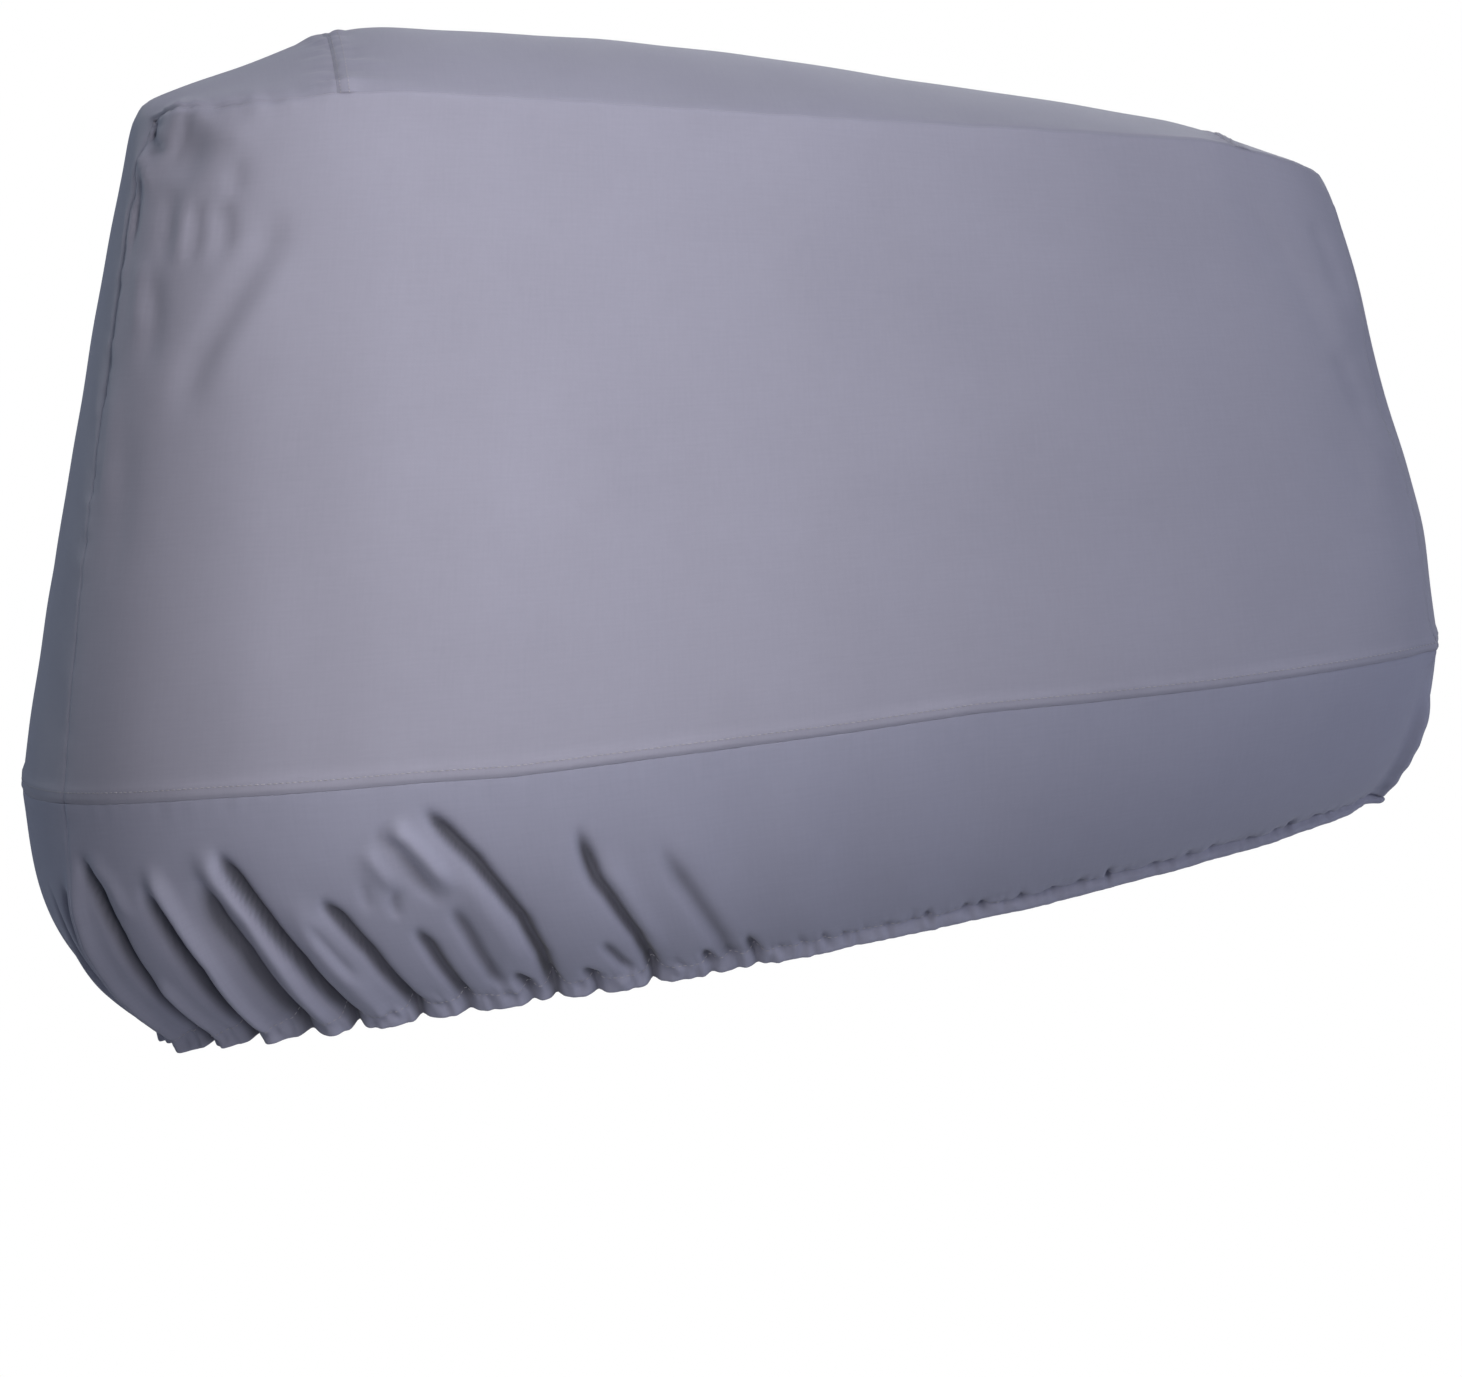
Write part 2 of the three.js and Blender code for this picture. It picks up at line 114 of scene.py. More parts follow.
class Tree:
    """A node tree that is filled in from expressions."""

    def __init__(self, node_tree):
        self.nodes = node_tree.nodes
        self.links = node_tree.links

    def node(self, kind, settings=None, sockets=None, output=0):
        """Adds a node of any kind: its settings first, then its sockets by name or number."""
        made = self.nodes.new(kind)
        for key, value in (settings or {}).items():
            setattr(made, key, value)
        for key, value in (sockets or {}).items():
            self.plug(made.inputs[key], value)
        return Sock(self, made.outputs[output]) if len(made.outputs) else made

    def noise(self, vector, scale, detail=2.0, roughness=0.5):
        return self.node("ShaderNodeTexNoise", {}, {
            "Vector": vector, "Scale": scale, "Detail": detail, "Roughness": roughness,
        })

    def shade(self, colour, tone):
        """The colour times a tone."""
        return self.node("ShaderNodeMix", {"data_type": "RGBA", "blend_type": "MULTIPLY"},
                         {0: 1.0, 6: colour, 7: tone}, output=2)

    def plug(self, into, value):
        if isinstance(value, Sock):
            self.links.new(value.socket, into)
        else:
            into.default_value = value


floor_mesh = bpy.data.meshes.new("floor")
floor_turns = [2 * math.pi * i / FLOOR_CORNERS for i in range(FLOOR_CORNERS)]
floor_mesh.from_pydata(
    [(FLOOR_RADIUS * math.cos(t), FLOOR_RADIUS * math.sin(t), FLOOR_HEIGHT) for t in floor_turns],
    [],
    [list(range(FLOOR_CORNERS))],
)
floor_paint = bpy.data.materials.new("floor_paint")
floor_paint.use_nodes = True
floor_shader = floor_paint.node_tree.nodes["Principled BSDF"]
floor_shader.inputs["Base Color"].default_value = FLOOR_COLOUR
floor_shader.inputs["Roughness"].default_value = 0.8
floor_mesh.materials.append(floor_paint)
floor = bpy.data.objects.new("floor", floor_mesh)
bpy.context.scene.collection.objects.link(floor)

for row in LIGHTS:
    light_data = bpy.data.lights.new(row["name"], "AREA")
    light_data.shape = "RECTANGLE"
    light_data.size, light_data.size_y = row["size"]
    light_data.energy = row["power"]
    light_data.color = row["colour"]
    light = bpy.data.objects.new(row["name"], light_data)
    light_back = look_back(row["azimuth"], row["elevation"])
    light.location = Vector(row.get("at", COVER_CENTRE)) + light_back * row["distance"]
    light.rotation_euler = (-light_back).to_track_quat("-Z", "Y").to_euler()
    light.visible_camera = False
    bpy.context.scene.collection.objects.link(light)

world = bpy.data.worlds.new("studio")
bpy.context.scene.world = world
world.use_nodes = True
sky = Tree(world.node_tree)
sky.nodes.clear()
sky_seen = sky.node("ShaderNodeBackground", {}, {"Color": (1, 1, 1, 1)})
sky_way = sky.node("ShaderNodeTexCoord")
sky_up = sky.node("ShaderNodeSeparateXYZ", {}, {0: sky_way}, output=2)
sky_light = sky.node(
    "ShaderNodeBackground", {}, {"Color": (0.74, 0.87, 1.0, 1), "Strength": 0.09 + sky_up * 0.05}
)
sky_choice = sky.node(
    "ShaderNodeMixShader", {}, {0: sky.node("ShaderNodeLightPath"), 1: sky_light, 2: sky_seen}
)
sky.node("ShaderNodeOutputWorld", {}, {"Surface": sky_choice})
bpy.context.scene.view_settings.view_transform = "Standard"


# Form: the shape that the cowling under it gives the cover, before any fold. Sizes are in
# millimetres up to the point where a piece is made. Each surface is a function of two
# distances over the cloth, so that pieces share their seams exactly.
OUTLINES = {
    "middle": dict(rear=-399, front=396, half=238, rear_power=3.2, front_power=4.0, taper=0.10,
                   rear_seam=150, front_seam=138),
    "top": dict(rear=-341, front=333, half=172, rear_power=4.2, front_power=4.5, taper=0.12,
                rear_seam=119, front_seam=100),
    "hem": dict(rear=-322, front=374, half=171, rear_power=3.8, front_power=3.2, taper=0.06,
                rear_seam=104, front_seam=92),
}
MIDDLE_START = (-395, -413.3)
MIDDLE_SLOPE = 0.1075
# How far the middle seam strays from a straight line, at several places along the cover
MIDDLE_STRAY = np.array([
    (-399, 4), (-300, 4), (-240, 2.4), (-190, 1.6), (-140, -0.8), (-60, 0), (40, 1), (112, 3),
    (180, 1), (240, 0), (396, 0),
])
TOP_SEAM = np.array([
    (-341, -38), (-322, -31), (-274, -27), (-232, -24), (-194, -23), (-92, -28.5), (12, -35),
    (124, -41.5), (217, -46.5), (248, -48), (284, -56), (321, -66), (333, -71),
])
CROWN = np.array([
    (-341, 2, 5), (-322, 5, 4), (-270, 20, 1), (-228, 36, 0), (-196, 38.5, 0), (-150, 39, 0),
    (-77, 38.5, 0), (0, 35.5, 0), (32, 33.5, 0), (99, 26, 0), (156, 22, 0), (243, 12.5, 0),
    (268, 9, 0), (300, 4, 6), (333, 2, 12),
])
SWELL = np.array([(0, 6), (0.15, 8), (0.5, 10), (0.85, 8), (1, 9)])
HEM = np.array([
    (-322, -551), (-280, -541), (-225, -532), (-150, -521), (-76, -511), (0, -498), (76, -483),
    (160, -467), (237, -449), (291, -436), (333, -425), (374, -411),
])
# How far the skirt leans in, in degrees, from the middle seam down to the hem
SKIRT_LEAN = np.array([(0, 8), (0.92, 60), (0.97, 30), (1, 22)])
SIDE_LENGTH = 760
SIDE_RISE = 380
STRIP_WIDTH = 260
TOP_RUN = 690
FRONT_RISE = 280
REAR_CORNER = SIDE_RISE
FRONT_CORNER = SIDE_RISE + TOP_RUN
STRIP_END = FRONT_CORNER + FRONT_RISE
SKIRT_DROP = 150
MIRROR = np.array([1, -1, 1])


def smooth(value):
    value = np.clip(value, 0, 1)
    return value * value * (3 - 2 * value)


def unit(vectors):
    return vectors / np.maximum(np.linalg.norm(vectors, axis=-1, keepdims=True), 1e-9)


def cut_side(outline):
    """The part of an outline between its two corner seams, with the length along it."""
    turn = np.linspace(0, math.pi, 4001)
    c, s = np.cos(turn), np.clip(np.sin(turn), 0, None)
    power = np.where(c > 0, outline["rear_power"], outline["front_power"])
    centre = (outline["rear"] + outline["front"]) / 2
    reach = (outline["front"] - outline["rear"]) / 2
    x = centre - reach * np.sign(c) * np.abs(c) ** (2 / power)
    y = outline["half"] * s ** (2 / power) * (1 - outline["taper"] * (x - centre) / reach)
    first = np.argmax(y >= outline["rear_seam"])
    last = len(y) - 1 - np.argmax(y[::-1] >= outline["front_seam"])
    x, y = x[first:last + 1], y[first:last + 1]
    length = np.concatenate([[0], np.cumsum(np.hypot(np.diff(x), np.diff(y)))])
    return x, y, length


cut_sides = {name: cut_side(outline) for name, outline in OUTLINES.items()}


def along(name, share):
    x, y, length = cut_sides[name]
    goal = np.asarray(share) * length[-1]
    return np.interp(goal, length, x), np.interp(goal, length, y)


def side_surface(u, v):
    """Starboard side: u runs from the rear corner to the front one, v up from the middle seam."""
    u, v = np.broadcast_arrays(np.asarray(u, float), np.asarray(v, float))
    share, rise = u / SIDE_LENGTH, v / SIDE_RISE
    low_x, low_y = along("middle", share)
    high_x, high_y = along("top", share)
    before_x, before_y = along("middle", np.clip(share - 0.01, 0, 1))
    after_x, after_y = along("middle", np.clip(share + 0.01, 0, 1))
    run = np.hypot(after_x - before_x, after_y - before_y)
    swell = np.interp(share, *SWELL.T) * np.clip(4 * rise * (1 - rise), 0, None) ** 0.7
    x = low_x + (high_x - low_x) * rise - swell * (after_y - before_y) / run
    y = low_y + (high_y - low_y) * rise + swell * (after_x - before_x) / run
    low_z = MIDDLE_START[1] + (low_x - MIDDLE_START[0]) * MIDDLE_SLOPE
    low_z = low_z + np.interp(low_x, *MIDDLE_STRAY.T)
    z = low_z * (1 - rise) + np.interp(high_x, *TOP_SEAM.T) * rise
    return np.stack([x, -y, z], -1)


def strip_on_frame(s, w):
    """Centre strip before its corners are rounded: s runs up the rear, forward over the top and
    down the front, w across from starboard to port."""
    rear_end, front_end = s < REAR_CORNER, s > FRONT_CORNER
    on_end = rear_end | front_end
    u = np.clip((s - REAR_CORNER) / TOP_RUN, 0, 1) * SIDE_LENGTH
    rise = np.where(rear_end, s / SIDE_RISE, np.where(front_end, (STRIP_END - s) / FRONT_RISE, 1))
    rear = s < (REAR_CORNER + FRONT_CORNER) / 2
    seam = side_surface(u, rise * SIDE_RISE)
    low = side_surface(np.where(rear, 0, SIDE_LENGTH), 0)
    end_x = np.where(rear, OUTLINES["middle"]["rear"], OUTLINES["middle"]["front"])
    low_out = np.abs(end_x - low[..., 0])
    high_x = along("top", u / SIDE_LENGTH)[0]
    top_out = np.interp(high_x, CROWN[:, 0], CROWN[:, 2])
    out = np.where(on_end, top_out + (low_out - top_out) * (1 - rise) ** 1.6, top_out)
    up = np.where(on_end, 0, np.interp(high_x, CROWN[:, 0], CROWN[:, 1]))
    side = np.abs(2 * w / STRIP_WIDTH - 1)
    outward_by = out * (1 - side ** 3) * np.where(rear, -1, 1)
    x = seam[..., 0] + outward_by
    y = seam[..., 1] * (1 - 2 * w / STRIP_WIDTH)
    z = seam[..., 2] + up * (1 - side ** (2 + np.minimum(out, 12) / 12))
    return np.stack([x, y, z + outward_by * MIDDLE_SLOPE * (1 - rise)], -1)


# The top edges are rounded by an average over these shifts along the strip. That fades out
# toward its sewn edges and its ends.
SHIFTS = np.arange(-30, 31, 6)
SHIFT_WEIGHTS = np.exp(-(SHIFTS / 13) ** 2)
SHARP_EDGE = 32
SHARP_END = 60


def strip_surface(s, w):
    """Centre strip, rounded where it turns over the top edges."""
    s, w = np.broadcast_arrays(np.asarray(s, float), np.asarray(w, float))
    exact = strip_on_frame(s, w)
    eased = 0
    for shift, weight in zip(SHIFTS, SHIFT_WEIGHTS / SHIFT_WEIGHTS.sum()):
        eased = eased + weight * strip_on_frame(np.clip(s + shift, 0, STRIP_END), w)
    edge = smooth(np.minimum(w, STRIP_WIDTH - w) / SHARP_EDGE)
    inner = smooth(np.minimum(s, STRIP_END - s) / SHARP_END)
    return exact + (eased - exact) * (edge * inner)[..., None]


drop_steps = np.linspace(0, 1, 1001)


def running_total(part):
    middles = (drop_steps[1:] + drop_steps[:-1]) / 2
    total = np.concatenate([[0], np.cumsum(part(np.radians(np.interp(middles, *SKIRT_LEAN.T))))])
    return total / total[-1]


skirt_inward = running_total(np.sin)
skirt_downward = running_total(np.cos)


def turn_under(start, end, drop):
    """The skirt's section between a point of the middle seam and one of the hem."""
    inward = np.interp(drop, drop_steps, skirt_inward)[..., None]
    downward = np.interp(drop, drop_steps, skirt_downward)
    points = start + (end - start) * inward
    points[..., 2] = start[..., 2] + (end[..., 2] - start[..., 2]) * downward
    return points


def skirt_surface(u, v):
    """Starboard skirt: u runs from the rear corner to the front one, v down from the seam."""
    u, v = np.broadcast_arrays(np.asarray(u, float), np.asarray(v, float))
    x, y = along("hem", u / SIDE_LENGTH)
    end = np.stack([x, -y, np.interp(x, *HEM.T)], -1)
    return turn_under(side_surface(u, 0), end, v / SKIRT_DROP)


def end_skirt_surface(w, v, rear):
    """Rear or front skirt: w runs from starboard to port, v down from the seam."""
    w, v = np.broadcast_arrays(np.asarray(w, float), np.asarray(v, float))
    corner_x, corner_y = along("hem", 0 if rear else 1)
    side = np.abs(2 * w / STRIP_WIDTH - 1)
    hem_x = OUTLINES["hem"]["rear" if rear else "front"]
    x = corner_x + (hem_x - corner_x) * (1 - side ** 2.4)
    z = np.interp(corner_x, *HEM.T) + (x - corner_x) * (0.1 if rear else 0.25)
    end = np.stack([x, -corner_y * (1 - 2 * w / STRIP_WIDTH), z], -1)
    return turn_under(strip_surface(0 if rear else STRIP_END, w), end, v / SKIRT_DROP)


def rear_skirt_surface(w, v):
    return end_skirt_surface(w, v, True)


def front_skirt_surface(w, v):
    return end_skirt_surface(w, v, False)


# Each surface with its two lengths, and 1 or -1 so that its normals point outward
FORMS = {
    "side": (side_surface, SIDE_LENGTH, SIDE_RISE, 1),
    "strip": (strip_surface, STRIP_END, STRIP_WIDTH, 1),
    "skirt": (skirt_surface, SIDE_LENGTH, SKIRT_DROP, -1),
    "rear_skirt": (rear_skirt_surface, STRIP_WIDTH, SKIRT_DROP, 1),
    "front_skirt": (front_skirt_surface, STRIP_WIDTH, SKIRT_DROP, -1),
}


def normals_of(form, u, v, step=1.5):
    """Outward normals of one of the forms."""
    surface, u_end, v_end, sign = FORMS[form]
    u, v = np.broadcast_arrays(np.asarray(u, float), np.asarray(v, float))
    near_u, far_u = np.clip(u - step, 0, u_end), np.clip(u + step, 0, u_end)
    near_v, far_v = np.clip(v - step, 0, v_end), np.clip(v + step, 0, v_end)
    first = surface(far_u, v) - surface(near_u, v)
    second = surface(u, far_v) - surface(u, near_v)
    return unit(np.cross(first, second)) * sign


def between(first, second):
    """The normals that two pieces share along their seam."""
    return unit(normals_of(*first) + normals_of(*second))


def middle_normals(u):
    return between(("side", u, 0), ("skirt", u, 0))


def top_normals(u):
    return between(("side", u, SIDE_RISE), ("strip", REAR_CORNER + TOP_RUN * u / SIDE_LENGTH, 0))


def rear_corner_normals(v):
    return between(("side", 0, v), ("strip", v, 0))


def front_corner_normals(v):
    return between(("side", SIDE_LENGTH, v), ("strip", STRIP_END - FRONT_RISE * v / SIDE_RISE, 0))


def end_middle_normals(w, rear):
    end_skirt = "rear_skirt" if rear else "front_skirt"
    return between(("strip", 0 if rear else STRIP_END, w), (end_skirt, w, 0))


def skirt_corner_normals(v, rear):
    end_skirt = "rear_skirt" if rear else "front_skirt"
    return between(("skirt", 0 if rear else SIDE_LENGTH, v), (end_skirt, 0, v))


# Side panels: the two largest pieces, cut from closely woven matt cloth. Each wraps a little way
# round the ends, where a corner seam joins it to the centre strip, and is drawn tight from the
# pinched top rear corner. Its lower edge is felled, so that a flat band stands above the seam.
CLOTH_THICKNESS = 0.5
CLOTH_COLOUR = (0.254, 0.251, 0.334, 1)
THREAD_PITCH = 0.00075
# The grid's step over the cloth, and how close it is beside a sewn edge
CLOTH_STEP = 4.0
EDGE_STEPS = np.array([0, 0.6, 1.3, 2.1, 3, 4.2, 5.6, 7.2, 9, 11.2])
# How far from a seam two pieces share their normals and folds, and how far the cloth lies calm
SEAM_BLEND = 7
CALM_EDGE = 14
# A sewn edge is turned inward by two more rows: how deep each lies, and how far from the seam
TURNED_ROWS = ((9, 0.45), (3.5, 0.25))
# Each seam's own unevenness: its seed, how deep its groove is and how much the thread puckers it
SEAMS = {
    "middle": dict(seed=21, groove=0.30, pucker=0.30),
    "top": dict(seed=22, groove=0.55, pucker=0.50),
    "rear_corner": dict(seed=23, groove=0.55, pucker=0.45),
    "front_corner": dict(seed=24, groove=0.55, pucker=0.45),
    "skirt_rear": dict(seed=25, groove=0.60, pucker=0.45),
    "skirt_front": dict(seed=26, groove=0.55, pucker=0.40),
    "rear_middle": dict(seed=27, groove=0.30, pucker=0.30),
    "front_middle": dict(seed=28, groove=0.30, pucker=0.30),
    "cross": dict(seed=29, groove=0.40, pucker=0.80),
}
BAND_HEIGHT = 0.75
# Places where three pieces meet: the cloth there is eased in, or stands out a little
EASED = [
    dict(at=(-333, 120, -36), by=(3.2, -2.6, -3.4), reach=15),
    dict(at=(325, 100, -67), by=(-1.4, -1.2, -1.0), reach=10),
    dict(at=(379, 138, -329), by=(2.6, 1.2, 0), reach=9),
]
# How wide the core of a sharp fold is
FOLD_CORE = 3.3
# Each fold's depth, its width, how sharp it is from 0 to 1, the lengths over which it fades in
# and out, and its path over the cloth
SIDE_FOLDS = [
    # The pinched top rear corner: short folds that fan out from it
    (-3.6, 4.0, 0.4, 3, 14, [(2, 377), (13, 371), (27, 369)]),
    (-5.4, 5.4, 0.5, 3, 16, [(2, 370), (15, 361), (34, 354)]),
    (2.2, 3.0, 0, 4, 8, [(9, 374), (20, 364), (30, 361)]),
    (3.2, 4.2, 0.2, 9, 18, [(6, 360), (11, 350), (18, 341), (26, 329)]),
    (-3.0, 4.4, 0.3, 8, 30, [(5, 346), (9, 334), (10, 316), (11, 290)]),
    (-4.6, 15, 0, 10, 20, [(30, 362), (50, 352), (66, 344)]),
    (1.6, 7, 0, 12, 20, [(40, 372), (70, 362), (96, 356)]),
    # Soft upright folds under the corner
    (-2.6, 8, 0, 18, 26, [(37, 340), (40, 318), (42, 284)]),
    (1.6, 6, 0, 12, 16, [(50, 330), (52, 310), (51, 288)]),
    (-2.2, 5, 0, 10, 14, [(57, 328), (60, 310), (58, 288)]),
    (-1.6, 6, 0, 8, 10, [(80, 348), (82, 334), (80, 322)]),
    (-2.4, 6, 0, 8, 16, [(74, 326), (79, 306), (76, 288)]),
    (-3.2, 10, 0, 30, 44, [(112, 323), (102, 294), (87, 267), (69, 234), (64, 198)]),
    (1.4, 12, 0, 24, 40, [(116, 300), (104, 272), (88, 246), (80, 210)]),
    (2.0, 6, 0, 14, 24, [(22, 300), (26, 276), (28, 246)]),
    (-2.4, 8, 0, 18, 30, [(33, 292), (40, 262), (38, 226)]),
    (1.8, 7, 0, 24, 30, [(14, 236), (16, 196), (16, 150)]),
    (-1.4, 10, 0, 30, 40, [(30, 210), (32, 160), (28, 110)]),
    # The cloth by the front edge: it sinks in a little at half height, with soft folds
    (-3.2, 30, 0, 46, 46, [(748, 276), (752, 216), (750, 154)]),
    (-1.5, 10, 0, 30, 30, [(668, 352), (690, 318), (706, 282), (712, 250), (714, 222)]),
    (-1.6, 7, 0, 20, 24, [(726, 340), (733, 306), (737, 270)]),
    (-2.0, 7, 0, 16, 24, [(716, 236), (728, 206), (734, 176)]),
    (-1.1, 10, 0, 24, 30, [(700, 180), (716, 150), (722, 110)]),
]


def draw_puckers(seed, start, end, place, reach, depth):
    """Short folds that run out from a seam between two places along it. The place function
    turns a distance along the seam and one away from it into a point of the cloth."""
    dice = np.random.default_rng(seed)
    rows, at = [], start
    while at < end:
        far, lean = reach * dice.uniform(0.4, 1.0), dice.uniform(-0.35, 0.35)
        path = [place(at + lean * away, away) for away in (0, far * 0.5, far)]
        sign = 1 if dice.uniform(0, 1) < 0.3 else -1
        rows.append((sign * depth * dice.uniform(0.5, 1.0), dice.uniform(2.4, 4.2), 0,
                     0, far * 0.7, path))
        at += dice.uniform(6, 16)
    return rows


SIDE_FOLDS += draw_puckers(51, 36, 140, lambda at, far: (at, SIDE_RISE - far), 22, 0.7)
SIDE_FOLDS += draw_puckers(52, 180, 350, lambda at, far: (far, at), 16, 0.7)


CROSS_SEAMS = (-228, 265)
cross_stations = [
    REAR_CORNER + TOP_RUN * np.interp(x, cut_sides["top"][0], cut_sides["top"][2])
    / cut_sides["top"][2][-1]
    for x in CROSS_SEAMS
]
# Folds of the centre strip. They run on a little way into the side panels, over the seams.
STRIP_FOLDS = [
    # Long shallow folds that start at the rear cross seam
    (1.5, 4, 0, 2, 26, [(cross_stations[0] + 2, 34), (cross_stations[0] + 40, 24)]),
    (1.2, 3.4, 0, 2, 28, [(cross_stations[0] + 2, 10), (cross_stations[0] + 44, 6)]),
    (1.4, 4, 0, 2, 28, [(cross_stations[0] + 2, 196), (cross_stations[0] + 46, 214)]),
    # The front sinks in a little below the top edge, and stands out again lower down
    (-3.2, 42, 0, 20, 20, [(1190, -40), (1190, 300)]),
    (1.6, 22, 0, 20, 20, [(1278, -40), (1278, 300)]),
]
for puckers in (
    (61, 14, 112, lambda at, far: (REAR_CORNER + at, far), 34, 1.6),
    (62, 14, 112, lambda at, far: (REAR_CORNER + at, STRIP_WIDTH - far), 34, 1.6),
    (63, 8, 252, lambda at, far: (cross_stations[0] - far, at), 22, 2.2),
    (64, 8, 252, lambda at, far: (cross_stations[0] + far, at), 26, 1.6),
    (65, 8, 252, lambda at, far: (cross_stations[1] + far, at), 16, 1.4),
    (66, 130, 350, lambda at, far: (at, far), 24, 0.8),
    (67, 130, 350, lambda at, far: (at, STRIP_WIDTH - far), 24, 0.8),
):
    STRIP_FOLDS += draw_puckers(*puckers)


def spaced(start, end, step, sewn_end=True):
    """Distances from start to end, close together beside each sewn edge."""
    last = end - (EDGE_STEPS[::-1] if sewn_end else np.array([0.0]))
    count = max(int(round((last[0] - start - EDGE_STEPS[-1]) / step)), 2)
    inside = np.linspace(start + EDGE_STEPS[-1], last[0], count + 1)[1:-1]
    return np.concatenate([start + EDGE_STEPS, inside, last])


def ripples(u, v, size, seed, stretch=1.0, waves=7):
    """Smooth unevenness from about minus one to one, some size millimetres from swell to swell
    along u and stretch times as much along v."""
    dice = np.random.default_rng(seed)
    total = 0
    for _ in range(waves):
        angle, phase = dice.uniform(0, math.pi), dice.uniform(0, 2 * math.pi)
        pace = 2 * math.pi / size * dice.uniform(0.6, 1.5)
        across = u * math.cos(angle) + v * math.sin(angle) / stretch
        total = total + np.cos(across * pace + phase)
    return total / waves * 1.6


def creases(u, v, rows):
    """Heights of single folds, from rows laid out like those of SIDE_FOLDS."""
    u, v = np.broadcast_arrays(u, v)
    total = np.zeros(u.shape)
    for depth, width, sharp, fade_in, fade_out, path in rows:
        path = np.array(path, float)
        steps = np.linalg.norm(np.diff(path, axis=0), axis=1)
        run = np.concatenate([[0], np.cumsum(steps)])
        nearest = np.full(total.shape, 1e9)
        where = np.zeros(total.shape)
        for i, step in enumerate(steps):
            way = (path[i + 1] - path[i]) / step
            t = np.clip((u - path[i, 0]) * way[0] + (v - path[i, 1]) * way[1], 0, step)
            gap = np.hypot(u - path[i, 0] - way[0] * t, v - path[i, 1] - way[1] * t)
            closer = gap < nearest
            nearest = np.where(closer, gap, nearest)
            where = np.where(closer, run[i] + t, where)
        q = nearest / width
        core = 0.55 * np.exp(-(nearest / FOLD_CORE) ** 2)
        core = core + 0.45 * np.exp(0.2 - np.sqrt(q * q + 0.04))
        shape = (1 - sharp) * np.exp(-q * q) + sharp * core
        rise = smooth(where / fade_in) if fade_in else 1
        fall = smooth((run[-1] - where) / fade_out) if fade_out else 1
        total += depth * shape * rise * fall
    return total


def seam_height(gap, run, seam, raised=0):
    """Heights beside a sewn edge: a groove at the stitching, a flat raised band over the turned
    allowance where there is one, and the small puckers that the thread draws."""
    row = SEAMS[seam]
    groove = -row["groove"] * np.exp(-(gap / 1.6) ** 2)
    band = raised * (smooth(gap / 3.0) - smooth((gap - 7.0) / 4.5))
    pucker = row["pucker"] * ripples(run, 0 * run, 17, row["seed"]) * np.exp(-(gap / 8) ** 2)
    # Drawn in hard beside the pinched top rear corner
    if seam == "top":
        groove = groove - 2.4 * (1 - smooth((run - 70) / 80)) * np.exp(-(gap / 3.4) ** 2)
    if seam == "rear_corner":
        groove = groove - 1.6 * smooth((run - 150) / 120) * np.exp(-(gap / 3.8) ** 2)
    return groove + band + pucker


def carried_over(gap, heights):
    """A neighbour's folds as they run on past the seam and die away."""
    return heights * np.exp(-(gap / SEAM_BLEND) ** 2)


def toward_seam(normals, gap, shared):
    """Turns a piece's normals into the shared ones over the last few millimetres."""
    weight = (1 - smooth(gap / SEAM_BLEND))[..., None]
    return unit(normals * (1 - weight) + shared * weight)


def ease(points):
    """Rounds the points where three pieces meet, alike to starboard and to port."""
    side = np.where(points[..., 1:2] < 0, -1, 1)
    moved = np.zeros(points.shape)
    for row in EASED:
        here = np.array(row["at"]) * np.concatenate([0 * side + 1, side, 0 * side + 1], -1)
        away = np.linalg.norm(points - here, axis=-1, keepdims=True)
        by = np.array(row["by"]) * np.concatenate([0 * side + 1, side, 0 * side + 1], -1)
        moved = moved + by * np.exp(-(away / row["reach"]) ** 2)
    return points + moved


def turn_in(grid, axis, end):
    """Turns a sewn edge inward: more rows that lie against the allowance of the next piece."""
    points, uv, normal = old = [
        np.moveaxis(a, axis, 0)[::-1] if end else np.moveaxis(a, axis, 0) for a in grid
    ]
    own, own_uv = unit(points[1] - points[0]), unit(uv[1] - uv[0])
    added = (
        [points[0] - normal[0] * deep + own * aside for deep, aside in TURNED_ROWS],
        [uv[0] - own_uv * (deep * 0.001) for deep, _ in TURNED_ROWS],
        [normal[0] for _ in TURNED_ROWS],
    )
    joined = [np.concatenate([np.stack(new), a]) for new, a in zip(added, old)]
    return [np.moveaxis(a[::-1] if end else a, 0, axis) for a in joined]


def lay_out(points, normals, u, v, edges=((0, 0), (0, 1), (1, 0), (1, 1))):
    """A piece's points and UV map, with its sewn edges turned in."""
    grid = [points, np.stack(np.broadcast_arrays(u, v), -1) * 0.001, normals]
    for axis, end in edges:
        grid = turn_in(grid, axis, end)
    return grid[:2]


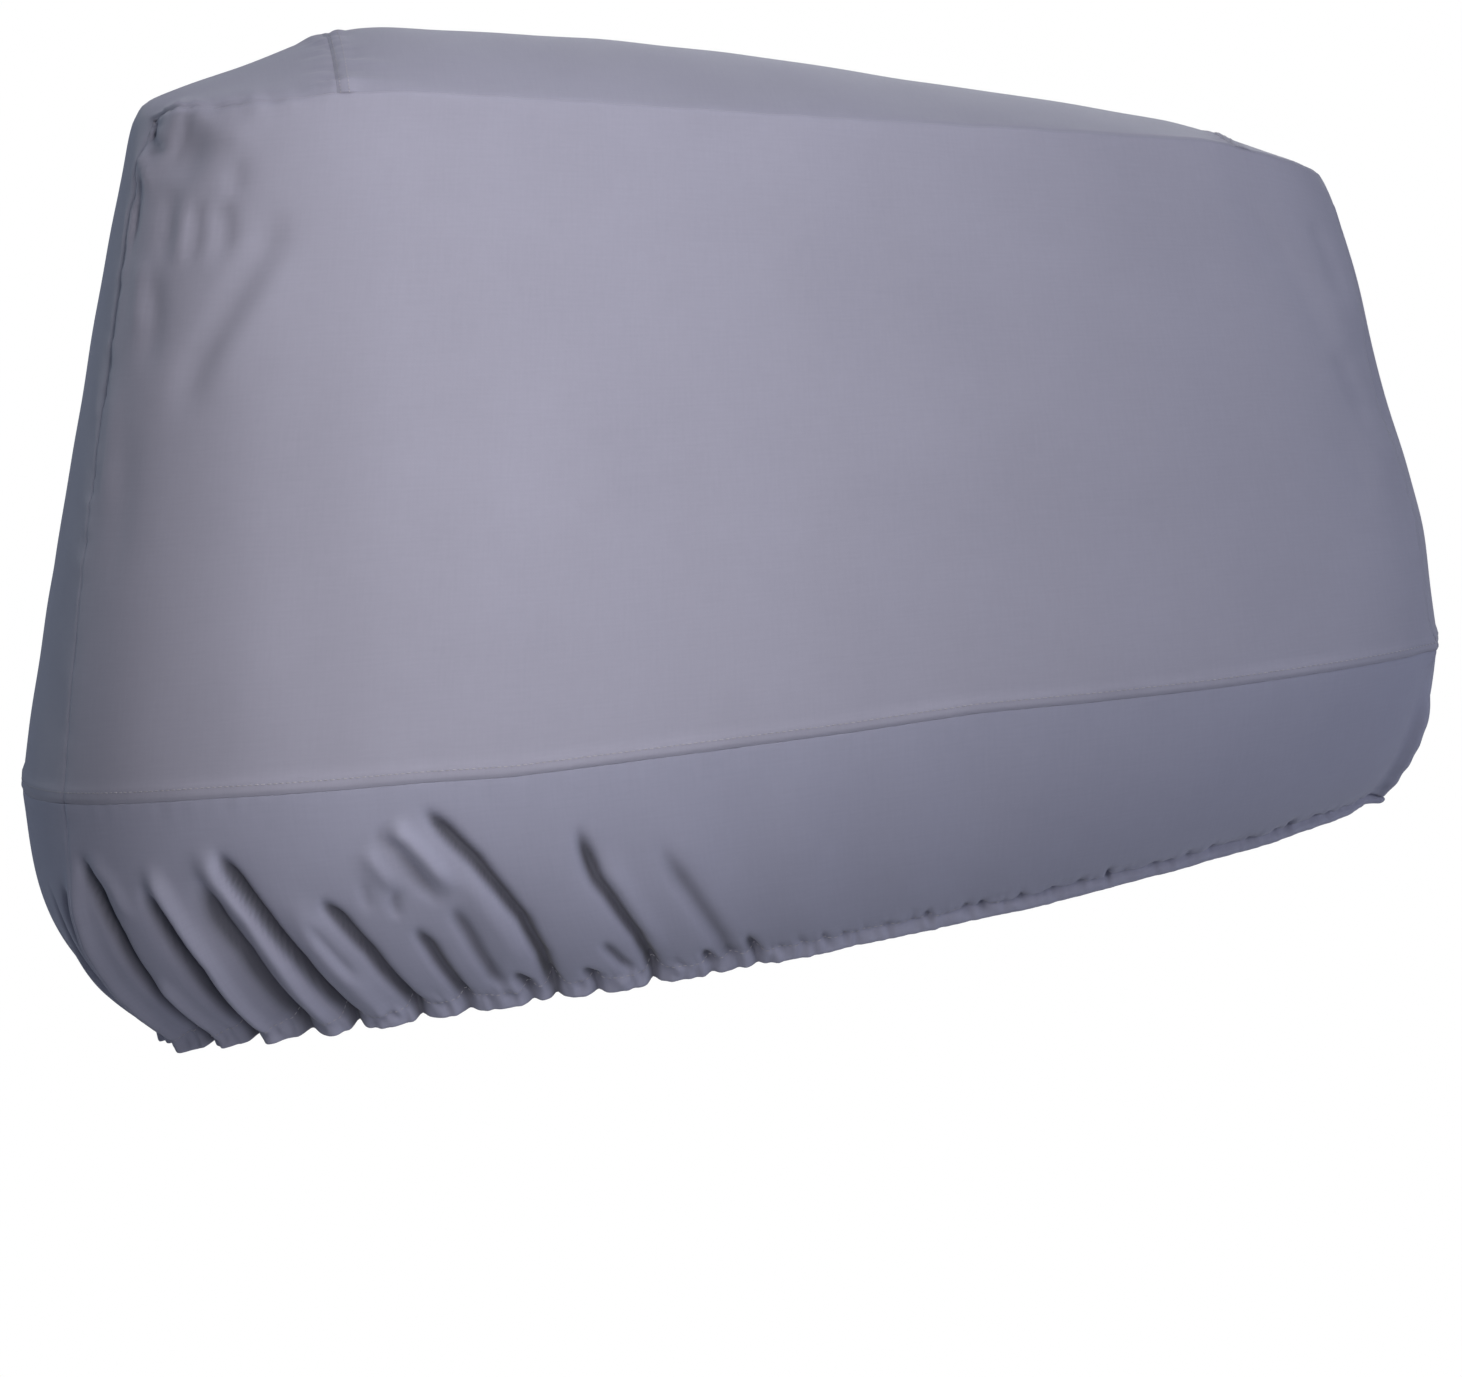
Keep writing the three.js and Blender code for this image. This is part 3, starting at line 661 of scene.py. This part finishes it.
def make_cloth(name, points, uv, material, port=False, painted_shade_mask=None):
    """A sheet of cloth from a grid of points, seen from outside. A port piece is its starboard
    shape turned over. The shade mask says how far down in a fold each point lies, from 0 to 1;
    the cloth's material paints its colour darker by it, as painted shade in the folds."""
    painted_shade_mask = np.zeros(points.shape[:2]) if painted_shade_mask is None else painted_shade_mask
    if port:
        points, painted_shade_mask = points[::-1] * MIRROR, painted_shade_mask[::-1]
        uv = uv[::-1] * np.array([-1, 1])
    rows, columns = points.shape[:2]
    index = np.arange(rows * columns).reshape(rows, columns)
    quads = np.stack([index[:-1, :-1], index[1:, :-1], index[1:, 1:], index[:-1, 1:]], -1)
    quads = quads.reshape(-1, 4)
    mesh = bpy.data.meshes.new(name)
    mesh.vertices.add(rows * columns)
    mesh.vertices.foreach_set("co", (points * 0.001).reshape(-1))
    mesh.loops.add(quads.size)
    mesh.loops.foreach_set("vertex_index", quads.reshape(-1).astype(np.int32))
    mesh.polygons.add(len(quads))
    mesh.polygons.foreach_set("loop_start", np.arange(0, quads.size, 4, dtype=np.int32))
    mesh.update(calc_edges=True)
    layer = mesh.uv_layers.new(name="cloth")
    layer.data.foreach_set("uv", uv.reshape(-1, 2)[quads.reshape(-1)].reshape(-1))
    # The mask of painted shade in the folds, which the cloth's material reads
    depth_layer = mesh.attributes.new("painted_shade_mask", "FLOAT", "POINT")
    depth_layer.data.foreach_set("value", painted_shade_mask.reshape(-1).astype(np.float32))
    mesh.polygons.foreach_set("use_smooth", np.ones(len(quads), bool))
    mesh.materials.append(material)
    mesh.update()
    piece = bpy.data.objects.new(name, mesh)
    bpy.context.scene.collection.objects.link(piece)
    layers = piece.modifiers.new("thickness", "SOLIDIFY")
    layers.thickness = CLOTH_THICKNESS * 0.001
    layers.offset = -1
    return piece


def weave_cloth(name, colour, painted_shade_strength=0.0):
    """Closely woven matt cloth. Its pattern follows the piece's own UV map, in metres. The shade
    strength is how much darker its colour is painted at the bottom of a deep fold: painted
    shade where the fold's shadow falls."""
    per_metre = 2 * math.pi / THREAD_PITCH
    material = bpy.data.materials.new(name)
    material.use_nodes = True
    tree = Tree(material.node_tree)
    uv = tree.node("ShaderNodeUVMap", {"uv_map": "cloth"})
    u = tree.node("ShaderNodeSeparateXYZ", {}, {0: uv}, output=0) * per_metre
    v = tree.node("ShaderNodeSeparateXYZ", {}, {0: uv}, output=1) * per_metre
    threads = u.math("SINE", u) * v.math("SINE", v)
    slub = tree.noise(uv, 420.0, 2.0)
    streak = 0
    for stretch in ((50, 650, 1), (650, 50, 1)):
        drawn_out = tree.node(
            "ShaderNodeVectorMath", {"operation": "MULTIPLY"}, {0: uv, 1: stretch}
        )
        streak = tree.noise(drawn_out, 1.0, 1.0) * 0.5 + streak
    cloud = tree.noise(uv, 9.0, 3.0, 0.55)
    # Painted shade: the colour is darkened by how far down in a fold each point lies
    painted_shade_mask = tree.node("ShaderNodeAttribute", {"attribute_name": "painted_shade_mask"}, {}, output=2)
    tone = 0.85 + cloud * 0.14 + slub * 0.05 + streak * 0.12 + threads * 0.025
    tint = tree.shade(colour, tone * (1 - painted_shade_mask * painted_shade_strength))
    bump = tree.node(
        "ShaderNodeBump",
        {},
        {"Strength": 0.35, "Distance": 0.00012, "Height": threads * 0.5 + slub * 0.6},
    )
    shader = tree.nodes["Principled BSDF"]
    tree.plug(shader.inputs["Base Color"], tint)
    tree.plug(shader.inputs["Roughness"], 0.66 + slub * 0.16)
    tree.plug(shader.inputs["Normal"], bump)
    shader.inputs["Sheen Weight"].default_value = 0.12
    shader.inputs["Sheen Roughness"].default_value = 0.45
    shader.inputs["Specular IOR Level"].default_value = 0.32
    return material


def finish_piece(piece, node):
    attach(piece, "root")
    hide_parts(node)


cover_cloth = weave_cloth("cover_cloth", CLOTH_COLOUR)
sewn = {}
u_line, v_line = spaced(0, SIDE_LENGTH, CLOTH_STEP), spaced(0, SIDE_RISE, CLOTH_STEP)
u, v = u_line[:, None], v_line[None, :]
for name, node, port, seed in (
    ("cover_side_starboard", "side_panel_starboard", False, 10),
    ("cover_side_port", "side_panel_port", True, 40),
):
    normals = normals_of("side", u, v)
    normals = toward_seam(normals, v, middle_normals(u))
    normals = toward_seam(normals, SIDE_RISE - v, top_normals(u))
    normals = toward_seam(normals, u, rear_corner_normals(v))
    normals = toward_seam(normals, SIDE_LENGTH - u, front_corner_normals(v))
    nearest = np.minimum(np.minimum(u, SIDE_LENGTH - u), np.minimum(v, SIDE_RISE - v))
    height = 1.3 * ripples(u, v, 230, seed) + 0.45 * ripples(u, v, 90, seed + 1, stretch=2.2)
    height = height * smooth(nearest / CALM_EDGE) + creases(u, v, SIDE_FOLDS)
    strip_edge = STRIP_WIDTH if port else 0
    strip_run = REAR_CORNER + TOP_RUN * u / SIDE_LENGTH
    height = height + carried_over(u, creases(v, strip_edge, STRIP_FOLDS))
    height = height + carried_over(SIDE_RISE - v, creases(strip_run, strip_edge, STRIP_FOLDS))
    front_run = STRIP_END - FRONT_RISE * v / SIDE_RISE
    height = height + carried_over(SIDE_LENGTH - u, creases(front_run, strip_edge, STRIP_FOLDS))
    height = height + seam_height(v, u, "middle", BAND_HEIGHT)
    height = height + seam_height(SIDE_RISE - v, u, "top")
    height = height + seam_height(u, v, "rear_corner")
    height = height + seam_height(SIDE_LENGTH - u, v, "front_corner")
    points = ease(side_surface(u, v) + normals * height[..., None])
    sewn[name] = dict(points=points, normals=normals, u=u_line, v=v_line, port=port)
    piece = make_cloth(name, *lay_out(points, normals, u, v), cover_cloth, port)
    finish_piece(piece, node)


# Centre strip: one band of the same cloth from the middle seam at the back, up over the top and
# down the front. It is pieced from three lengths joined by two felled seams across, and is sewn
# to the side panels along both edges.
def beside_strip(s):
    """Where on the side panel the strip's edge lies: its u and its v."""
    u = np.clip((s - REAR_CORNER) / TOP_RUN, 0, 1) * SIDE_LENGTH
    v = np.where(s > FRONT_CORNER, (STRIP_END - s) / FRONT_RISE * SIDE_RISE, s)
    return u, np.clip(v, 0, SIDE_RISE)


def of_three(s, rear, top, front):
    """Chooses by which of the three seams beside the strip a place along it lies."""
    return np.where(s <= REAR_CORNER, rear, np.where(s >= FRONT_CORNER, front, top))


def strip_edge_normals(s):
    u, v = beside_strip(s)
    return of_three(s[..., None], rear_corner_normals(v), top_normals(u), front_corner_normals(v))


def strip_edge_height(gap, s):
    u, v = beside_strip(s)
    rear, front = seam_height(gap, v, "rear_corner"), seam_height(gap, v, "front_corner")
    return of_three(s, rear, seam_height(gap, u, "top"), front)


w_line = spaced(0, STRIP_WIDTH, CLOTH_STEP)
for name, node, s_start, s_end, seed, flat, area in (
    ("cover_rear", "rear_panel", 0, cross_stations[0], 100, (0.33, 0.52), 0.146),
    ("cover_top", "top_panel", cross_stations[0], cross_stations[1], 110, (0.37, 0.51), 0.172),
    ("cover_front", "front_panel", cross_stations[1], STRIP_END, 120, (0.29, 0.37), 0.087),
):
    s_line = spaced(s_start, s_end, CLOTH_STEP)
    s, w = s_line[:, None], w_line[None, :]
    first = end_middle_normals(w, True) if s_start == 0 else normals_of("strip", s_start, w)
    last = end_middle_normals(w, False) if s_end == STRIP_END else normals_of("strip", s_end, w)
    normals = normals_of("strip", s, w)
    normals = toward_seam(normals, s - s_start, first)
    normals = toward_seam(normals, s_end - s, last)
    edge = strip_edge_normals(s)
    normals = toward_seam(normals, w, edge)
    normals = toward_seam(normals, STRIP_WIDTH - w, edge * MIRROR)
    nearest = np.minimum(np.minimum(w, STRIP_WIDTH - w), np.minimum(s - s_start, s_end - s))
    height = 1.0 * ripples(s, w, 170, seed) + 0.4 * ripples(s, w, 70, seed + 1)
    height = height * smooth(nearest / CALM_EDGE) + creases(s, w, STRIP_FOLDS)
    beside = creases(*beside_strip(s), SIDE_FOLDS)
    height = height + carried_over(w, beside) + carried_over(STRIP_WIDTH - w, beside)
    height = height + strip_edge_height(w, s) + strip_edge_height(STRIP_WIDTH - w, s)
    start_seam = "rear_middle" if s_start == 0 else "cross"
    end_seam = "front_middle" if s_end == STRIP_END else "cross"
    height = height + seam_height(s - s_start, w, start_seam, BAND_HEIGHT)
    height = height + seam_height(s_end - s, w, end_seam, BAND_HEIGHT if s_end == STRIP_END else 0)
    points = ease(strip_surface(s, w) + normals * height[..., None])
    sewn[name] = dict(points=points, normals=normals, u=s_line, v=w_line, port=False)
    piece = make_cloth(name, *lay_out(points, normals, s, w), cover_cloth)
    finish_piece(piece, node)


# Skirts: four gathered bands below the middle seam that turn in under the cover. An elastic in
# a rolled casing along the lower edge draws them into uneven folds, deepest toward the back.
SKIRT_STEP = 1.4
SKIRT_ROW_STEP = 2.7
SKIRT_COLOUR = (0.248, 0.251, 0.348, 1)
# How much the folds are deepened, how far the slack back bellies out, how high the ridges of
# the corner seams stand, and how much of a fold's depth the elastic turns into a notch
FOLD_STRENGTH, BELLY, RIDGE, NOTCH = 1.2, 6.5, 6.2, 0.4
# The rolled casing: distance over the cloth, drop on the skirt's section, height above it, and
# the shape that its stitching gives it where it is drawn in least
CASING = np.array([
    (0, 0, 0, 0), (138.6, 138.6, 0, 0), (140, 140, 0, -1.3), (141.4, 141.4, 0, -2.2),
    (142.8, 142.8, 0, -0.8), (144.4, 144.4, 0, 0.9), (146.4, 146.3, 0, 1.1),
    (148.4, 148.2, 0, 0.8), (149.8, 149.5, -0.2, 0.2), (151, 150, -1.1, 0),
    (152.4, 149.9, -2.1, 0), (154, 149, -2.8, 0), (157, 146.2, -3.2, 0), (161, 142.2, -3.2, 0),
])
CASING_ROWS = [
    137, 138.2, 139.2, 140.2, 141.2, 142.2, 143.2, 144.4, 146, 147.4, 148.8, 150, 151, 152,
    153, 154.2, 155.8, 158, 161,
]
STARBOARD_FOLDS = [
    (-11, 4.4, 0.8, 24, 0, [(7, 22), (18, 43), (23, 66), (24, 93), (24, 121), (24, 150)]),
    (1.8, 5, 0, 12, 16, [(16, 23), (31, 39), (39, 61)]),
    (3.4, 4.6, 0, 14, 0, [(35, 88), (36, 108), (37, 130), (38, 150)]),
    (-9.5, 4.8, 0.7, 26, 0, [(49, 38), (56, 60), (60, 88), (59, 125), (59, 150)]),
    (4.8, 4.8, 0, 18, 0, [(55, 28), (62, 45), (67, 65), (72, 88), (71, 127), (71, 150)]),
    (-8.6, 6.6, 0.6, 30, 0, [(85, 34), (87, 63), (93, 84), (94, 113), (94, 134), (94, 150)]),
    (4.2, 6.4, 0, 20, 0, [(87, 20), (94, 43), (104, 64), (108, 94), (109, 130), (109, 150)]),
    (-11, 4.2, 0.95, 22, 0, [(96, 24), (104, 44), (111, 63), (119, 92), (122, 121), (123, 150)]),
    (2.8, 8, 0, 30, 0, [(129, 48), (134, 84), (139, 112), (141, 150)]),
    (-2.2, 4, 0.3, 16, 16, [(132, 64), (139, 90), (144, 113)]),
    (-8.4, 4.2, 0.9, 18, 0, [(143, 54), (151, 70), (158, 93), (161, 123), (161, 150)]),
    (-1.2, 4, 0, 10, 12, [(169, 43), (167, 69)]),
    (2.2, 5, 0, 12, 14, [(171, 28), (180, 46), (188, 56)]),
    (-3.0, 5, 0.2, 14, 22, [(178, 20), (191, 33), (200, 54), (206, 70)]),
    (-1.8, 3.4, 0, 8, 10, [(185, 53), (181, 62), (180, 74)]),
    (4.4, 6.0, 0, 8, 20, [(186, 19), (202, 38), (215, 61)]),
    (-6.0, 4.2, 0.6, 18, 0, [(186, 76), (190, 94), (191, 122), (189, 150)]),
    (-3.8, 4.8, 0.4, 18, 16, [(209, 64), (213, 89), (214, 114), (212, 138)]),
    (-8.0, 4.0, 0.9, 24, 0, [(202, 9), (215, 26), (227, 43), (236, 63), (243, 82), (245, 110),
                             (241, 138), (240, 150)]),
    (2.0, 8, 0, 24, 30, [(214, 42), (224, 62), (231, 90), (231, 124)]),
    (-5.4, 3.4, 0.6, 18, 0, [(224, 118), (226, 134), (226, 150)]),
    (-5.0, 3.6, 0.6, 16, 0, [(262, 122), (264, 136), (264, 150)]),
    (-7.6, 3.8, 0.9, 30, 0, [(279, 26), (283, 46), (286, 62), (291, 75), (295, 90), (299, 106),
                             (300, 126), (297, 150)]),
    (1.8, 7, 0, 24, 30, [(288, 44), (296, 70), (303, 96), (306, 130)]),
    (-3.4, 3.2, 0.6, 14, 12, [(278, 102), (283, 122), (287, 140)]),
    (-3.0, 6.0, 0.35, 34, 0, [(318, 40), (327, 66), (333, 82), (338, 100), (342, 118),
                              (344, 150)]),
    (-4.4, 3.2, 0.6, 16, 0, [(330, 122), (331, 150)]),
    (-4.2, 3.4, 0.6, 18, 0, [(356, 116), (358, 150)]),
]
# Small gathers along the front half of each side, where the cloth is drawn in only a little
gathers = []
gather_dice = np.random.default_rng(17)
gather_at = 372.0
while gather_at < 752:
    gather_rise = gather_dice.choice([3, 5, 8, 14])
    gathers.append((
        -gather_dice.uniform(0.8, 2.6), gather_dice.uniform(1.9, 3.6), 0.5, 8 + gather_rise, 7,
        [(gather_at - 2, 134 - gather_rise), (gather_at, 141), (gather_at + 1, 150)],
    ))
    gather_at += gather_dice.uniform(6, 24)


def draw_folds(seed, start, end, depth, reach):
    """Folds of a skirt that aren't set out one by one: uneven, and leaning a little."""
    dice = np.random.default_rng(seed)
    rows = []
    at = start + dice.uniform(0, 12)
    while at < end:
        height = dice.uniform(0.45, 1.0) * reach
        lean = dice.uniform(-0.16, 0.22) * height
        path = [(at + lean * (d - 1) - 3 * math.sin(math.pi * d), SKIRT_DROP - height * (1 - d))
                for d in (0, 0.25, 0.5, 0.75, 1)]
        rows.append((-depth * dice.uniform(0.6, 1.15), dice.uniform(3.8, 5.8),
                     dice.uniform(0.5, 0.9), height * 0.45, 0, path))
        aside = dice.uniform(9, 12)
        rows.append((depth * 0.42, dice.uniform(5, 8), 0, height * 0.35, 0,
                     [(x + aside, y) for x, y in path[1:]]))
        at += dice.uniform(19, 44)
    return rows


# Beside each rear corner seam the rear piece is drawn in deep
REAR_FOLDS = [
    (-9, 6, 0.5, 34, 0, [(14, 34), (13, 70), (12, 110), (12, 150)]),
    (-9, 6, 0.5, 34, 0, [(246, 34), (247, 70), (248, 110), (248, 150)]),
] + draw_folds(8, 34, 226, 6.4, 116)
# The skirt cloth paints shade into its colour at the bottom of deep folds
skirt_cloth = weave_cloth("skirt_cloth", SKIRT_COLOUR, painted_shade_strength=0.6)
above_casing = spaced(0, CASING_ROWS[0], SKIRT_ROW_STEP, sewn_end=False)[:-1]
cloth_rows = np.concatenate([above_casing, CASING_ROWS])
drops = np.interp(cloth_rows, CASING[:, 0], CASING[:, 1])
casing_height = np.interp(cloth_rows, CASING[:, 0], CASING[:, 2])
stitched_height = np.interp(cloth_rows, CASING[:, 0], CASING[:, 3])
for name, node, form, port, folds, seed, flat, area in (
    ("cover_skirt_starboard", "skirt_starboard", "skirt", False, STARBOARD_FOLDS + gathers, 60,
     (0.84, 0.185), 0.138),
    ("cover_skirt_port", "skirt_port", "skirt", True, draw_folds(5, 8, 380, 7.6, 122) + gathers,
     70, (0.84, 0.185), 0.138),
    ("cover_skirt_rear", "skirt_rear", "rear_skirt", False, REAR_FOLDS, 80, (0.31, 0.19), 0.052),
    ("cover_skirt_front", "skirt_front", "front_skirt", False, draw_folds(3, 14, 244, 3.2, 62),
     90, (0.285, 0.135), 0.032),
):
    surface, length, _, sign = FORMS[form]
    u_line = spaced(0, length, SKIRT_STEP)
    u, v = u_line[:, None], drops[None, :]
    on_side, at_rear = form == "skirt", form == "rear_skirt"
    if on_side:
        upper, upper_seam = middle_normals(u), "middle"
        corners = [skirt_corner_normals(v, True), skirt_corner_normals(v, False)]
        corner_seams = ["skirt_rear", "skirt_front"]
    else:
        upper = end_middle_normals(u, at_rear)
        upper_seam = "rear_middle" if at_rear else "front_middle"
        corner = skirt_corner_normals(v, at_rear)
        corners = [corner, corner * MIRROR]
        corner_seams = ["skirt_rear" if at_rear else "skirt_front"] * 2
    normals = toward_seam(normals_of(form, u, v), v, upper)
    normals = toward_seam(normals, u, corners[0])
    normals = toward_seam(normals, length - u, corners[1])
    inside = smooth(np.minimum(u, length - u) / SEAM_BLEND)
    fold_height = FOLD_STRENGTH * creases(u, v, folds) * inside * smooth(v / 22)
    fold_height = fold_height * (1 - 0.4 * smooth((v - 136) / 10))
    swell = 1.5 * ripples(u, v, 62, seed, stretch=3.5) * smooth(v / 60) * inside
    height = fold_height + swell
    slack = np.exp(-(u / 60) ** 2) if on_side else (1 if at_rear else 0)
    height = height + BELLY * slack * np.sin(np.pi * v / SKIRT_DROP).clip(0) ** 2
    drawn = smooth((u - 400) / 150) if on_side else (0.1 if at_rear else 1)
    gather = 0.7 * ripples(u, 0 * v, 7, seed + 1) + 0.8 * ripples(u, v, 17, seed + 2)
    height = height + gather * np.exp(-((v - 140) / 9) ** 2) * inside
    crimp = ripples(u, v, 6.5, seed + 3, stretch=2) + 0.8 * ripples(u, v, 11, seed + 4, stretch=2)
    height = height + 1.1 * crimp * smooth((v - 134) / 9) * (1 - 0.8 * drawn) * inside
    ridge = RIDGE * smooth((v - 12) / 50)
    for gap, seam in ((u, corner_seams[0]), (length - u, corner_seams[1])):
        height = height + seam_height(gap, v, seam) + ridge * np.exp(-(gap / 6) ** 2)
    height = height + seam_height(v, u, upper_seam) + casing_height + stitched_height * drawn
    points = ease(surface(u, v) + normals * height[..., None])
    points[..., 2] += NOTCH * np.clip(-fold_height, 0, 8) * smooth((v - 124) / 20)
    sewn[name] = dict(points=points, normals=normals, u=u_line, v=cloth_rows, port=port)
    grid = lay_out(points, normals, u, -cloth_rows[None, :], ((1, 0), (0, 0), (0, 1)))
    # Painted shade mask: how far down in a deep fold each point lies, which darkens the skirt's
    # colour there
    painted_shade_mask = np.pad(np.clip((-fold_height - 0.6) / 5, 0, 1), ((2, 2), (2, 0)), mode="edge")
    points, uv, painted_shade_mask = (a if sign > 0 else a[:, ::-1] for a in (*grid, painted_shade_mask))
    piece = make_cloth(name, points, uv, skirt_cloth, port, painted_shade_mask)
    finish_piece(piece, node)


# Stitching: rows of thread along the felled bands, beside the cross seams and round the casing.
# Each stitch is a short rounded run of thread that lies half sunk in the cloth.
STITCH_PITCH = 0.0034
STITCH_SIZE = (0.00135, 0.00032, 0.00026)
THREAD_COLOUR = (0.30, 0.29, 0.34, 1)
# How far from their seams the rows on the raised bands and beside the cross seams lie, and how
# far down the skirts the casing's row lies
ON_BAND = 6.3
BY_CROSS = (1.9, 6.6)
ON_CASING = 139.8
# Piece, axis that stays put (0 or 1), and where on it the row lies
STITCH_ROWS = [
    ("cover_side_starboard", 1, ON_BAND), ("cover_side_port", 1, ON_BAND),
    ("cover_rear", 0, ON_BAND), ("cover_front", 0, STRIP_END - ON_BAND),
    *(("cover_top", 0, cross_stations[0] + gap) for gap in BY_CROSS),
    *(("cover_front", 0, cross_stations[1] + gap) for gap in BY_CROSS),
    *(("cover_skirt_" + side, 1, ON_CASING) for side in ("starboard", "port", "rear", "front")),
]


def stitch_line(name, axis, at):
    grid = sewn[name]
    spots = grid["u"] if axis == 0 else grid["v"]
    i = int(np.clip(np.searchsorted(spots, at) - 1, 0, len(spots) - 2))
    t = (at - spots[i]) / (spots[i + 1] - spots[i])
    flip = MIRROR if grid["port"] else 1
    near, far = (np.take(grid["points"], k, axis) * flip for k in (i, i + 1))
    return near * (1 - t) + far * t, np.take(grid["normals"], i, axis) * flip


row_points, row_normals, row_edges = [], [], []
for name, axis, at in STITCH_ROWS:
    line, line_normals = stitch_line(name, axis, at)
    first = len(row_points)
    row_points.extend((line * 0.001).tolist())
    row_normals.extend(line_normals.tolist())
    row_edges.extend((first + i, first + i + 1) for i in range(len(line) - 1))
row_mesh = bpy.data.meshes.new("stitch_rows")
row_mesh.from_pydata(row_points, row_edges, [])
row_mesh.attributes.new("outward", "FLOAT_VECTOR", "POINT").data.foreach_set(
    "vector", np.array(row_normals).reshape(-1)
)
row_object = bpy.data.objects.new("stitch_rows", row_mesh)
bpy.context.scene.collection.objects.link(row_object)

thread = bpy.data.materials.new("sewing_thread")
thread.use_nodes = True
thread_tree = Tree(thread.node_tree)
thread_place = thread_tree.node("ShaderNodeTexCoord", {}, {}, output=3)
twist = thread_tree.noise(thread_place, 900.0)
thread_tint = thread_tree.shade(THREAD_COLOUR, 0.85 + twist * 0.3)
thread_shader = thread_tree.nodes["Principled BSDF"]
thread_tree.plug(thread_shader.inputs["Base Color"], thread_tint)
thread_shader.inputs["Roughness"].default_value = 0.55

sewing = bpy.data.node_groups.new("sewing", "GeometryNodeTree")
sewing.interface.new_socket("Rows", in_out="INPUT", socket_type="NodeSocketGeometry")
sewing.interface.new_socket("Pitch", in_out="INPUT", socket_type="NodeSocketFloat")
sewing.interface.new_socket("Stitch size", in_out="INPUT", socket_type="NodeSocketVector")
sewing.interface.new_socket("Stitches", in_out="OUTPUT", socket_type="NodeSocketGeometry")
sew = Tree(sewing)
given = sew.nodes.new("NodeGroupInput")
rows_in, pitch_in, size_in = (Sock(sew, given.outputs[i]) for i in range(3))
curves = sew.node("GeometryNodeMeshToCurve", {}, {0: rows_in})
steps = sew.node(
    "GeometryNodeResampleCurve", {"mode": "LENGTH"}, {"Curve": curves, "Length": pitch_in}
)
bead = sew.node("GeometryNodeMeshUVSphere", {}, {"Segments": 6, "Rings": 4, "Radius": 1.0})
stitch = sew.node("GeometryNodeTransform", {}, {"Geometry": bead, "Scale": size_in})
outward_way = sew.node(
    "GeometryNodeInputNamedAttribute", {"data_type": "FLOAT_VECTOR"}, {"Name": "outward"}
)
facing = sew.node(
    "FunctionNodeAxesToRotation",
    {"primary_axis": "X", "secondary_axis": "Z"},
    {0: sew.node("GeometryNodeInputTangent"), 1: outward_way},
)
placed = sew.node(
    "GeometryNodeInstanceOnPoints", {}, {"Points": steps, "Instance": stitch, "Rotation": facing}
)
whole = sew.node("GeometryNodeRealizeInstances", {}, {0: placed})
rounded = sew.node("GeometryNodeSetShadeSmooth", {}, {0: whole})
threaded = sew.node("GeometryNodeSetMaterial", {}, {"Geometry": rounded, "Material": thread})
sew.node("NodeGroupOutput", {}, {0: threaded})
sewing_modifier = row_object.modifiers.new("sewing", "NODES")
sewing_modifier.node_group = sewing
inputs = {item.name: item.identifier for item in sewing.interface.items_tree}
sewing_modifier[inputs["Pitch"]] = STITCH_PITCH
sewing_modifier[inputs["Stitch size"]] = STITCH_SIZE
evaluated = row_object.evaluated_get(bpy.context.evaluated_depsgraph_get())
stitches = bpy.data.objects.new("cover_stitches", bpy.data.meshes.new_from_object(evaluated))
bpy.data.objects.remove(row_object)
bpy.context.scene.collection.objects.link(stitches)
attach(stitches, "root")
